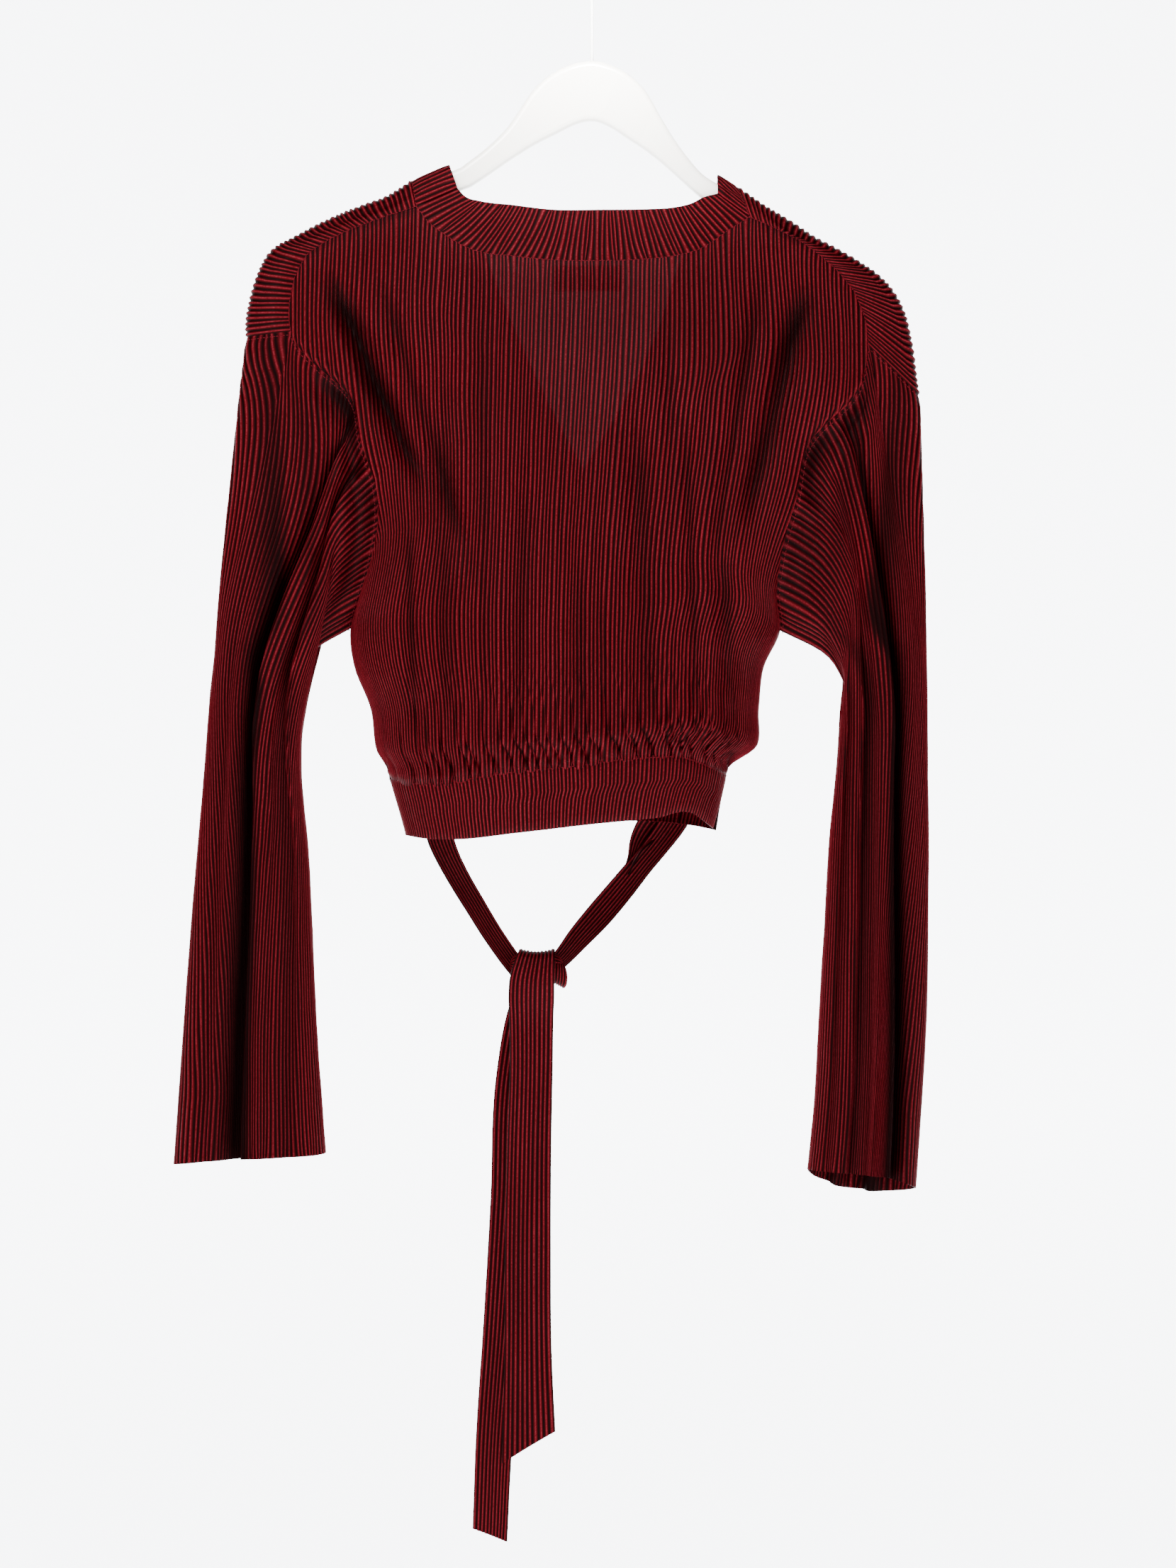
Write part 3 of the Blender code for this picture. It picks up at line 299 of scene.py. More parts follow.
def grid_normals(grid, inside, closed=False):
    down = np.gradient(grid, axis=0)
    if closed:
        ring = grid[:, :-1]
        step = np.roll(ring, -1, axis=1) - np.roll(ring, 1, axis=1)
        across = np.concatenate([step, step[:, :1]], axis=1)
    else:
        across = np.gradient(grid, axis=1)
    normal = np.cross(down, across)
    size = np.linalg.norm(normal, axis=2)
    normal /= np.maximum(size, 1e-9)[..., None]
    for i in range(len(grid)):
        good = np.flatnonzero(size[i] > 1e-3)
        if len(good) < grid.shape[1]:
            nearest = good[np.abs(np.arange(grid.shape[1])[:, None] - good[None, :]).argmin(axis=1)]
            normal[i] = normal[i, nearest]
    return -normal if np.sum(normal * (grid - inside)) < 0 else normal


def blur(places, reach, loop=None):
    """A matrix that averages neighbours within reach, round a loop where its length is given."""
    apart = np.abs(places[:, None] - places[None, :])
    if loop is not None:
        apart = np.minimum(apart, loop - apart)
    weight = np.exp(-0.5 * (apart / reach) ** 2)
    return weight / weight.sum(axis=1, keepdims=True)


def hollows(grid, normals, closed, reach, deep):
    """How far each point lies in a fold, from 0 on a ridge to 1 in a deep one."""
    down = length_along(grid[:, grid.shape[1] // 2])
    across = length_along(grid[len(grid) // 2])
    loop = across[-1] if closed else None
    reach_down, reach = min(0.6 * reach, down[-1] / 6), min(reach, across[-1] / 6)
    over_columns = np.einsum("jk,ikd->ijd", blur(across, reach, loop), grid) - grid
    over_rows = np.einsum("ik,kjd->ijd", blur(down, reach_down), grid) - grid
    sunk = np.maximum(np.sum(over_columns * normals, axis=2), 0) + 0.8 * np.maximum(
        np.sum(over_rows * normals, axis=2), 0)
    return 1 - np.exp(-(sunk / deep) ** 1.2)


def pleat_heights(grid, height, seed, ends=(0.15, 0.15), fade=3):
    """How far each point stands out: the pleats, uneven, and pressed flat at the seams."""
    rows, columns = grid.shape[:2]
    run = length_along(grid[:, columns // 2])
    wander = 1 + 0.2 * drift(run, columns, seed, 60.0, 4) + 0.12 * drift(run, columns, seed + 1, 18.0, 5)
    grade = np.ones(rows)
    for k in range(fade):
        grade[k] *= ends[0] + (1 - ends[0]) * k / fade
        grade[-1 - k] *= ends[1] + (1 - ends[1]) * k / fade
    apart = np.linalg.norm(np.diff(grid, axis=1), axis=2)
    cut = np.zeros((rows, columns), bool)
    cut[:, 1:] |= apart < 1e-3
    cut[:, :-1] |= apart < 1e-3
    raised = PROFILE[np.arange(columns) % PER_PLEAT][None, :] * wander * grade[:, None] * height
    return np.where(cut, 0.0, raised)


def shell(name, grid, normals, heights, material, closed=False, thick=CLOTH_THICK, shade=0.0):
    """A closed thin shell on a grid. Its map runs in pleats across and in metres along."""
    # Painted shade: how deep each point lies in a fold, large or small, kept below as the fold value.
    small = SMALL_FOLD_SHADE * hollows(grid, normals, closed, *SMALL_FOLD)
    sunk = np.maximum(np.maximum(hollows(grid, normals, closed, *LARGE_FOLD), small), shade)
    outer = grid + normals * heights[..., None]
    inner = outer - normals * thick
    rows, columns = grid.shape[:2]
    wide = columns - 1 if closed else columns
    points = np.concatenate([outer[:, :wide].reshape(-1, 3), inner[:, :wide].reshape(-1, 3)])
    base = rows * wide
    step = np.linalg.norm(np.diff(grid, axis=0), axis=2).mean(axis=1)
    run = np.concatenate([[0], np.cumsum(step)]) * MM
    i, j = np.arange(rows - 1), np.arange(columns - 1)
    r, c = (each.ravel() for each in np.meshgrid(i, j, indexing="ij"))
    patch = [(r, c), (r + 1, c), (r + 1, c + 1), (r, c + 1)]
    top, low, left, right = 0 * j, 0 * j + rows - 1, 0 * i, 0 * i + columns - 1
    rims = [((top, j), (top, j + 1)), ((low, j + 1), (low, j))]
    if not closed:
        rims += [((i + 1, left), (i, left)), ((i, right), (i + 1, right))]
    quads = [(patch, (0, 0, 0, 0)), (patch[::-1], (1, 1, 1, 1))]
    quads += [((a, b, b, a), (0, 0, 1, 1)) for a, b in rims]
    faces = np.concatenate([np.stack([at[0] * wide + at[1] % wide + base * inside
                                      for at, inside in zip(*quad)], axis=1) for quad in quads])
    uvs = np.concatenate([np.stack([np.stack([at[1] / PER_PLEAT, run[at[0]]], axis=1)
                                    for at in quad[0]], axis=1) for quad in quads])
    turn = np.cross(outer[1, 0] - outer[0, 0], outer[1, 1] - outer[1, 0])
    if np.dot(turn, normals[0, 0]) < 0:
        faces, uvs = faces[:, ::-1], uvs[:, ::-1]
    mesh = bpy.data.meshes.new(name)
    mesh.from_pydata(to_world(points).tolist(), [], faces.tolist())
    layer = mesh.uv_layers.new(name="UVMap")
    layer.data.foreach_set("uv", uvs.astype(np.float32).ravel())
    mesh.shade_smooth()
    # Painted shade: the fold value darkens the jersey's colour.
    fold = mesh.attributes.new("fold", "FLOAT", "POINT")
    fold.data.foreach_set("value", np.tile(sunk[:, :wide].ravel(), 2).astype(np.float32))
    on_rim = np.zeros((rows, wide), bool)
    on_rim[0] = on_rim[-1] = True
    if not closed:
        on_rim[:, 0] = on_rim[:, -1] = True
    on_rim = np.tile(on_rim.ravel(), 2)
    ends = np.zeros(len(mesh.edges) * 2, np.int32)
    mesh.edges.foreach_get("vertices", ends)
    ends = ends.reshape(-1, 2)
    sharp = on_rim[ends].all(axis=1) & ((ends[:, 0] < base) == (ends[:, 1] < base))
    mesh.attributes.new("sharp_edge", "BOOLEAN", "EDGE").data.foreach_set("value", sharp)
    mesh.materials.append(material)
    work = bmesh.new()
    work.from_mesh(mesh)
    bmesh.ops.remove_doubles(work, verts=work.verts, dist=2e-6)
    work.to_mesh(mesh)
    work.free()
    print("%s: %d triangles, deepest fold %.2f" % (
        name, sum(len(face.vertices) - 2 for face in mesh.polygons), sunk.max()))
    return placed(name, mesh)


# %% [markdown]
# ## Shader arithmetic
# The finishes are sums and products of a few patterns. A small class wraps a socket, so that a
# pattern can be written as an expression, and each expression adds its own Math nodes. Every
# other node comes from one method, which sets a node's settings before its sockets.

# %% A wrapper for shader nodes
class Wire:
    """One output in a material's tree, with arithmetic."""

    def __init__(self, finish, made, output):
        self.finish, self.made, self.socket = finish, made, made.outputs[output]

    def out(self, output):
        return Wire(self.finish, self.made, output)

    def math(self, operation, *others):
        return self.finish.node("ShaderNodeMath", {"operation": operation}, dict(enumerate((self,) + others)))

    def __add__(self, other):
        return self.math("ADD", other)

    def __mul__(self, other):
        return self.math("MULTIPLY", other)

    def __sub__(self, other):
        return self.math("SUBTRACT", other)

    def __rsub__(self, other):
        return self.finish.node("ShaderNodeMath", {"operation": "SUBTRACT"}, {0: other, 1: self})

    def __pow__(self, other):
        return self.math("POWER", other)

    __radd__, __rmul__ = __add__, __mul__


class Finish:
    """A material, its Principled shader, and what feeds it."""

    def __init__(self, name, constants):
        self.material = bpy.data.materials.new(name)
        self.material.use_nodes = True
        self.tree = self.material.node_tree
        self.shader = self.tree.nodes["Principled BSDF"]
        for socket, value in constants.items():
            self.shader.inputs[socket].default_value = value

    def node(self, kind, settings=None, inputs=None, output=0):
        made = self.tree.nodes.new(kind)
        for name, value in (settings or {}).items():
            setattr(made, name, value)
        for key, value in (inputs or {}).items():
            if isinstance(value, Wire):
                self.tree.links.new(value.socket, made.inputs[key])
            else:
                made.inputs[key].default_value = value
        return Wire(self, made, output)

    def mix(self, first, second, share):
        return self.node("ShaderNodeMix", {"data_type": "RGBA"}, {0: share, 6: first, 7: second}, 2)

    def noise(self, place, scale, detail=2.0):
        return self.node("ShaderNodeTexNoise", {}, {"Vector": place, "Scale": scale, "Detail": detail})

    def feed(self, links):
        for socket, wire in links.items():
            self.tree.links.new(wire.socket, self.shader.inputs[socket])
        return self.material


# %% [markdown]
# ## Pleated jersey
# The cloth is a fine wine-red knit with a faint sheen. Each pleat carries painted light: a painted
# highlight along its crest and painted shade in its valley, where it is nearly black. The shell's own
# map counts pleats across, so its fraction gives the place within a pleat, and the crest's painted
# highlight breaks into small painted glints along the knit. Painted shade also darkens the cloth deep
# in folds, by each shell's fold value. The back lets a little light through.

# %% The jersey's finish
# Painted shade: the colour of pleat valleys and deep folds. WINE is the cloth's own colour.
WINE_PAINTED_SHADE = (0.0024, 0.00005, 0.00012, 1)
WINE = (0.050, 0.0006, 0.0019, 1)
# Painted highlight: the colour of the glints on pleat crests.
WINE_PAINTED_HIGHLIGHT = (0.155, 0.0135, 0.022, 1)
FOLD_SHADE = 1.25


def jersey(name, alpha=1.0):
    cloth = Finish(name, {"Sheen Weight": 0.01, "Sheen Roughness": 0.4, "Sheen Tint": (0.8, 0.05, 0.08, 1),
                          "Specular IOR Level": 0.02, "Alpha": alpha})
    place = cloth.node("ShaderNodeUVMap", {"uv_map": "UVMap"})
    u = cloth.node("ShaderNodeSeparateXYZ", {}, {0: place})
    v = u.out(1)
    ridge = 0.5 - 0.5 * (u.math("FRACT") * (2 * math.pi)).math("COSINE")
    streak_place = cloth.node("ShaderNodeCombineXYZ", {}, {0: u * 0.31, 1: v * 14.0})
    streak = cloth.noise(streak_place, 1.0)
    glint_place = cloth.node("ShaderNodeCombineXYZ", {}, {0: u * 3.0, 1: v * 900.0})
    glint = cloth.noise(glint_place, 1.0, 1.0)
    broad = cloth.noise(cloth.node("ShaderNodeTexCoord", {}, {}, 3), 14.0)
    # Painted shade: each pleat darkens from its crest to a nearly black valley.
    pleat_shading = ridge ** 1.25 * (0.62 + 0.7 * streak)
    body = cloth.mix(WINE_PAINTED_SHADE, WINE, pleat_shading.math("MINIMUM", 1.0))
    # Painted highlight: small glints lighten each pleat's crest.
    painted_crest_glint = ridge ** 7.0 * (glint * 2.2 - 0.5).math("MAXIMUM", 0.0) * (0.35 + 0.6 * broad)
    lit = cloth.mix(body, WINE_PAINTED_HIGHLIGHT, painted_crest_glint.math("MINIMUM", 1.0))
    # Painted shade: the shell's fold value darkens the cloth deep in folds.
    fold = cloth.node("ShaderNodeAttribute", {"attribute_name": "fold"}, {}, 2)
    colour = cloth.mix(lit, WINE_PAINTED_SHADE, (fold * FOLD_SHADE).math("MINIMUM", 0.97))
    knit = cloth.node("ShaderNodeBump", {}, {"Strength": 0.35, "Distance": 0.0002, "Height": glint})
    rough = 0.42 + 0.16 * glint
    return cloth.feed({"Base Color": colour, "Roughness": rough, "Normal": knit})


JERSEY = jersey("pleated jersey")
SHEER = jersey("pleated jersey held to the light", 0.974)
print("jersey: two materials")


# %% [markdown]
# ## Back panel
# The back hangs straight from the shoulders, creased beside each armhole, and is gathered into the
# waistband. Cloth simulation would lose the pleats, so the creases are listed: each is a
# soft trough along a line. At the waist the cloth is puckered between stitches, and a row of
# uneven puffs swells out and droops over the seam.

# %% The body's surface
BODY_FOLDS = rows_of(table("face x0 z0 x1 z1 width depth", [
    (-1, -178, -236, -120, -372, 9, 14), (-1, 150, -240, 106, -400, 10, 12),
    (-1, -104, -300, -100, -560, 11, 7), (-1, 32, -330, 42, -560, 11, 7),
    (-1, 92, -420, 98, -560, 8, 8), (-1, -46, -380, -52, -560, 9, 5),
    (-1, 66, -330, 74, -560, 6, 5), (-1, -8, -430, -8, -560, 7, 4),
    (-1, -128, -400, -122, -560, 6, 6), (-1, -146, -236, -84, -430, 7, 5),
    (-1, 118, -236, 84, -430, 7, 5), (-1, 5, -440, 12, -560, 5, 3),
    (-1, -76, -250, -74, -560, 8, 3.5), (-1, 54, -250, 58, -560, 6, 2.5),
    (1, -160, -250, -118, -400, 12, 8), (1, 150, -250, 112, -420, 12, 8),
    (1, -90, -330, -94, -560, 12, 5), (1, 70, -330, 62, -560, 12, 5),
    (1, -120, -300, -60, -560, 8, 3.5), (1, 120, -330, 96, -560, 8, 3.5),
    (1, -30, -420, -34, -560, 7, 3), (1, 20, -420, 26, -560, 7, 3),
]))


def folds_in_body(face, x, z):
    depth = np.zeros_like(x)
    for fold in BODY_FOLDS:
        if fold["face"] == face:
            t = (z - fold["z0"]) / (fold["z1"] - fold["z0"])
            line = fold["x0"] + (fold["x1"] - fold["x0"]) * t
            reach = ease((t + 0.12) / 0.3) * ease((1.1 - t) / 0.3)
            depth += fold["depth"] * reach * np.exp(-((x - line) / fold["width"]) ** 2)
    return depth


def band_sides(down):
    return BAND_LEFT + BAND_TAPER_LEFT * down, BAND_RIGHT - BAND_TAPER_RIGHT * down


def band_depth(x, z):
    down = np.clip((WAIST_TOP - z) / BAND_HIGH, 0, 1)
    left, right = band_sides(down)
    across = np.clip(2 * (x - left) / (right - left) - 1, -1, 1)
    return (BAND_DEPTH - 2 * down) * (1 - np.abs(across) ** SQUARENESS) ** 0.5


def body_depth(face, x, z, tuck=0.0):
    x, z = np.asarray(x, float), np.asarray(z, float)
    left, right, edge, middle, rise = (smooth(BODY["z"], BODY[name], z) for name in (
        "left", "right", "edge", "back" if face < 0 else "front", "rise"))
    across = np.clip(2 * (x - left) / (right - left) - 1, -1, 1)
    edge = np.maximum(edge, 0)
    loose = edge + (middle - edge) * (1 - np.abs(across) ** SQUARENESS) ** rise
    return loose * (1 - tuck) + band_depth(x, z) * tuck


def back_top(x):
    left, neck, right = (height_of(line, x) for line in (SEAM_LEFT, SEAM_NECK, SEAM_RIGHT))
    return np.where(x < SEAM_LEFT["x"][-1], left, np.where(x > SEAM_RIGHT["x"][0], right, neck))


def side_z(side, row):
    top = for_side(side, SEAM_LEFT["z"][0], SEAM_RIGHT["z"][-1])
    end = for_side(side, WAIST_BACK["z"][0], WAIST_BACK["z"][-1])
    return top + (end - top) * row


def side_x(side, z):
    return smooth(BODY["z"], BODY[for_side(side, "left", "right")], z)


def tucked(row):
    return ease((row - TUCK_ROW) / (1 - TUCK_ROW))


# %% The gathers at the waist
GATHER_SEED = 7
BODY_LONG, GATHERS_HIGH = 350.0, 70.0
PUFF_WIDE = (5.5, 13.5)
PUFF_OUT, PUFF_ROOT, PUFF_TUCK, PUFF_DROOP = 5.2, 2.6, 4.4, 3.2


def gathered(face, line, row, seed, reach=1.0):
    """A row near the waist, with its puffs swollen out and hanging over the seam."""
    above = (1 - row) * BODY_LONG
    if above > GATHERS_HIGH:
        return line
    steps = np.random.default_rng(seed).uniform(*PUFF_WIDE, 200)
    edges = line[:, 0].min() - 4 + np.concatenate([[0], np.cumsum(steps)])
    edges = edges[edges < line[:, 0].max() + 20]
    size = 0.55 + 0.45 * np.random.default_rng(seed + 1).uniform(-1, 1, len(edges))
    k = np.clip(np.searchsorted(edges, line[:, 0]) - 1, 0, len(edges) - 2)
    t = np.clip((line[:, 0] - edges[k]) / (edges[k + 1] - edges[k]), 0, 1)
    puff = np.sin(math.pi * t) ** 0.55 * (0.6 + size[k])
    off = line[:, 0] - (line[:, 0].min() + line[:, 0].max()) / 2
    middle = 1 - np.clip(np.abs(off) / (np.ptp(line[:, 0]) / 2), 0, 1) ** 8
    swell = ease(above / 4.0) * math.exp(-above / 15.0)
    long_fade = ease(above / 8.0) * math.exp(-above / 30.0)
    tuck = np.exp(-(np.minimum(t, 1 - t) / 0.13) ** 2)
    out = (PUFF_OUT * puff * swell + PUFF_ROOT * long_fade - PUFF_TUCK * tuck * long_fade) * middle * reach
    droop = PUFF_DROOP * puff * math.exp(-above / 5.0) * middle * reach
    line = line.copy()
    line[:, 1] += face * out
    line[:, 2] -= droop
    return line


BODY_ROWS = np.concatenate([
    np.linspace(0, CORNER, 7), np.linspace(CORNER, UNDERARM, 38)[1:], np.linspace(UNDERARM, 0.88, 13)[1:],
    np.linspace(0.88, 0.975, 11)[1:], np.linspace(0.975, 1, 8)[1:],
])
CORNER_ROW = int(np.argmin(np.abs(BODY_ROWS - CORNER)))
UNDERARM_ROW = int(np.argmin(np.abs(BODY_ROWS - UNDERARM)))
BACK_PLEATS, BACK_SEED = 140, 11
REFERENCE_LEFT, REFERENCE_RIGHT = -152.0, 108.0
TOP_LEFT, TOP_RIGHT = -226.0, 204.0
REFERENCE_DEPTH = 64.0
CROWD = 0.21
FAN, FAN_POWER = 0.2, 1.5
FANNED_TO, FANNED_OVER = 0.55, 0.15
LOOSE_ROW = 0.75


def places_across(places):
    """Where each pleat lies across a full section, from -1 to 1. They crowd a little at the sides."""
    across = -np.cos(np.linspace(0, math.pi, DENSE))
    half = (REFERENCE_RIGHT - REFERENCE_LEFT) / 2
    depth = REFERENCE_DEPTH * (1 - np.abs(across) ** SQUARENESS) ** 0.5
    run = length_along(np.stack([across * half, depth], axis=1))
    s = 2 * places - 1
    crowded = (1 + CROWD) * s - CROWD * s ** 3
    return np.interp((crowded + 1) / 2 * run[-1], run, across)


def back_grid(places):
    """Pleats that hang straight, fan out to the shoulders, and are cut off along the armholes."""
    across = places_across(places)
    low_t = (across + 1) / 2
    to_left, to_right = (np.clip((way * across - FAN) / (1 - FAN), 0, 1) ** FAN_POWER for way in (-1, 1))
    top = TOP_LEFT + (TOP_RIGHT - TOP_LEFT) * places
    grid = []
    for row in BODY_ROWS:
        tuck = tucked(row)
        start = side_x(-1, side_z(-1, row)) * (1 - tuck) + BAND_LEFT * tuck
        end = side_x(1, side_z(1, row)) * (1 - tuck) + BAND_RIGHT * tuck
        below = ease((row - FANNED_TO) / FANNED_OVER)
        full_left = min(start, REFERENCE_LEFT) * (1 - below) + start * below
        full_right = max(end, REFERENCE_RIGHT) * (1 - below) + end * below
        full = (REFERENCE_LEFT + (REFERENCE_RIGHT - REFERENCE_LEFT) * low_t
                + (full_left - REFERENCE_LEFT) * to_left + (full_right - REFERENCE_RIGHT) * to_right)
        hang = ease(row / LOOSE_ROW)
        x = np.clip(top * (1 - hang) + full * hang, start, end)
        t = (x - start) / (end - start)
        top_x = SEAM_LEFT["x"][0] + (SEAM_RIGHT["x"][-1] - SEAM_LEFT["x"][0]) * t
        z = back_top(top_x) * (1 - row) + height_of(WAIST_BACK, across_line(WAIST_BACK, t)) * row
        line = np.stack([x, -body_depth(-1, x, z, tuck), z], axis=1)
        line[:, 1] += folds_in_body(-1, line[:, 0], line[:, 2])
        grid.append(gathered(-1, line, row, GATHER_SEED))
    return np.array(grid)


INSIDE_BODY, INSIDE_WAIST = np.array([-24.0, 0.0, -420.0]), np.array([-24.0, 0.0, -596.0])
back = back_grid(pleat_places(BACK_PLEATS, BACK_SEED))
print("back: %d rows of %d points" % back.shape[:2])


# %% [markdown]
# ## Fronts over the shoulders
# Each front is cut in one with a strip that folds over the hanger and is sewn to the back behind
# the shoulder, so its pleats cross the shoulder like rungs. Down the front the right side laps
# over the left, and is lifted by the thickness of the cloth below it.

# %% The front panels
FRONT_PLEATS = 44
OVER_SHOULDER = np.concatenate([[-1, -0.8, -0.62], np.linspace(-0.5, 0.5, 9), [0.62, 0.8, 1]])


def shoulder_seam(side):
    z = [side_z(side, row) for row in BODY_ROWS[CORNER_ROW::-1]]
    drop = np.array([[side_x(side, value), value] for value in z])
    line = for_side(side, SEAM_LEFT, SEAM_RIGHT)
    x = np.linspace(line["x"][0], line["x"][-1], DENSE)[::-side]
    rise = np.stack([x, height_of(line, x)], axis=1)
    return spaced(np.concatenate([drop, rise[1:]]), DENSE)


def over_shoulder(seam, top, turn):
    width = np.linalg.norm(top - seam, axis=1)[:, None]
    up = (top - seam) / width
    axis = top - up * SHOULDER_TURN
    angle = np.clip(turn, -0.5, 0.5) * math.pi
    place = axis + up * SHOULDER_TURN * math.cos(angle)
    y = np.full(len(seam), SHOULDER_TURN * math.sin(angle))
    face = -1 if turn < 0 else 1
    down = (abs(turn) - 0.5) / 0.5 if abs(turn) > 0.5 else 0.0
    at_seam = face * body_depth(face, seam[:, 0], seam[:, 1])
    bulge = face * 2.5 * math.sin(math.pi * down)
    return np.stack([place[:, 0] * (1 - down) + seam[:, 0] * down, y * (1 - down) + at_seam * down + bulge,
                     place[:, 1] * (1 - down) + seam[:, 1] * down], axis=1)


def layered(x, z, side, tuck=0.0):
    x, z = np.asarray(x, float), np.asarray(z, float)
    y = body_depth(1, x, z, tuck)
    if side < 0:
        return np.stack([x, y, z], axis=-1)
    step = 0.5
    along_x, along_z = ((body_depth(1, x + a, z + b, tuck) - body_depth(1, x - a, z - b, tuck)) / (2 * step)
                        for a, b in ((step, 0), (0, step)))
    along_x = np.clip(along_x, -4, 4)
    out = np.stack([-along_x, np.ones_like(x), -along_z], axis=-1)
    out /= np.linalg.norm(out, axis=-1, keepdims=True)
    under = smooth(LEFT_WRAP["free_z"], LEFT_WRAP["free_x"], z)
    lift = LAYER * ease((under + 24 - x) / 15)
    return np.stack([x, y, z], axis=-1) + out * lift[..., None]


def wrap_at(wrap, edge, w):
    return np.array([smooth(wrap["w"], wrap[edge + "_" + axis], w) for axis in "xz"])


def waist_dip(x0, z0, x1, z1, t):
    return height_of(WAIST_FRONT, x0 + (x1 - x0) * t) - (z0 + (z1 - z0) * t)


def front_grid(side, places):
    wrap = for_side(side, LEFT_WRAP, RIGHT_WRAP)
    seam = shoulder_seam(side)
    top = along(for_side(side, SHOULDER_LEFT, SHOULDER_RIGHT))
    grid = [spaced(over_shoulder(seam, top, turn), places) for turn in OVER_SHOULDER]
    place = np.linspace(0, 1, DENSE)
    t = place ** 1.6
    seam_at = np.stack([np.interp(t, place, seam[:, k]) for k in (0, 1)], axis=1)
    bow = seam_at - (seam[0] + (seam[-1] - seam[0]) * t[:, None])
    for row in BODY_ROWS[CORNER_ROW + 1:]:
        w = (row - CORNER) / (1 - CORNER)
        outer_z = side_z(side, row)
        inner_x, inner_z = wrap_at(wrap, "seam", w)
        tuck = tucked(row)
        end_x = for_side(side, BAND_LEFT, BAND_RIGHT)
        outer_x = side_x(side, outer_z) * (1 - tuck) + end_x * tuck
        x = outer_x + (inner_x - outer_x) * t + bow[:, 0] * (1 - w) ** 3
        z = outer_z + (inner_z - outer_z) * t + bow[:, 1] * (1 - w) ** 2
        z += ease((w - 0.8) / 0.2) * waist_dip(end_x, WAIST_FRONT["z"][for_side(side, 0, -1)],
                                               wrap["seam_x"][-1], wrap["seam_z"][-1], t)
        line = spaced(layered(x, z, side, tuck), places)
        line[:, 1] -= folds_in_body(1, line[:, 0], line[:, 2])
        grid.append(gathered(1, line, row, GATHER_SEED + 10 + side, 0.8))
    return np.array(grid)


fronts = {side: front_grid(side, pleat_places(FRONT_PLEATS, 21 + side)) for side in (-1, 1)}
print("fronts: %d rows of %d points" % fronts[-1].shape[:2])


# %% [markdown]
# ## Bell sleeves
# A sleeve hangs from the dropped armhole as a flattened tube, with two or three long folds that
# open out at the cuff. Each section is a rounded oval pressed in by those folds. A fold of heavy
# pleated cloth is soft on one side and sharp where the next lobe stands over it, so the trough
# has two different widths. Beside the armhole the sleeve dips behind the edge of the body.

# %% The sleeves
LEFT_SLEEVE = table("z outer inner half", [
    (-262, -243, -195, 12), (-300, -248, -172, 22), (-350, -253, -160, 28), (-400, -258, -158, 31),
    (-470, -264, -169, 31), (-486, -265, -190, 28), (-520, -268.5, -194, 27),
    (-567, -272, -203, 27), (-653, -279.5, -199.5, 28), (-750, -287, -195, 30),
    (-849, -294, -188, 32),
])
RIGHT_SLEEVE = table("z outer inner half", [
    (-275, 222, 190, 12), (-307, 230, 165, 20), (-350, 232, 150, 27), (-400, 233.5, 138, 31),
    (-472, 235, 133, 31), (-488, 235, 158, 29), (-506, 235.5, 168.5, 27), (-560, 236, 171, 26),
    (-653, 236.5, 166.5, 27), (-747, 235, 161, 29), (-808, 231.5, 157.5, 31),
    (-866, 227.5, 151.5, 32),
])
CUFFS = {-1: (-841, -844, -849, -846, -841), 1: (-852, -855, -866, -869, -852)}
SLEEVE_FOLDS = rows_of(table("sleeve face top middle cuff soft sharp top_depth middle_depth cuff_depth", [
    (-1, -1, 0.28, 0.48, 0.45, 0.13, 0.045, 14, 20, 20), (-1, -1, 0.5, 0.83, 0.77, 0.1, 0.05, 10, 7, 5),
    (-1, -1, 0.1, 0.2, 0.2, 0.06, 0.05, 0, 4, 4), (-1, -1, 0.7, 0.67, 0.61, 0.05, 0.05, 4, 3.5, 3),
    (-1, 1, 0.36, 0.42, 0.36, 0.13, 0.06, 8, 14, 15), (-1, 1, 0.72, 0.74, 0.7, 0.1, 0.06, 7, 10, 10),
    (1, -1, 0.25, 0.37, 0.27, 0.12, 0.045, 14, 20, 20), (1, -1, 0.63, 0.67, 0.64, 0.1, 0.05, 12, 10, 8),
    (1, -1, 0.84, 0.86, 0.84, 0.06, 0.04, 5, 7, 4), (1, -1, 0.45, 0.53, 0.48, 0.05, 0.05, 3, 4, 4),
    (1, 1, 0.4, 0.4, 0.42, 0.13, 0.06, 8, 14, 15), (1, 1, 0.74, 0.72, 0.74, 0.1, 0.06, 7, 10, 10),
]))
FOLD_ROWS = np.array([0, 0.45, 1])
SLEEVE_ROWS = np.concatenate([[0, 0.004, 0.009, 0.015, 0.022, 0.03, 0.04, 0.052],
                              np.linspace(0.066, 0.985, 56),
                              [0.992, 0.997, 1]])
SLEEVE_PLEATS = 108
SLEEVE_LONG = 600.0
CREASE_ROOM = 2.5
CAP_PUSH, CAP_PUSH_OVER, CAP_FADE = 15.0, 0.08, 0.42


def folds_of(side, row):
    """A sleeve's folds, and where each lies across it and how deep it is at a part of its length."""
    for fold in SLEEVE_FOLDS:
        if fold["sleeve"] == side:
            yield (fold,) + tuple(smooth(FOLD_ROWS, np.array([fold[part + kind] for part in (
                "top", "middle", "cuff")]), row) for kind in ("", "_depth"))


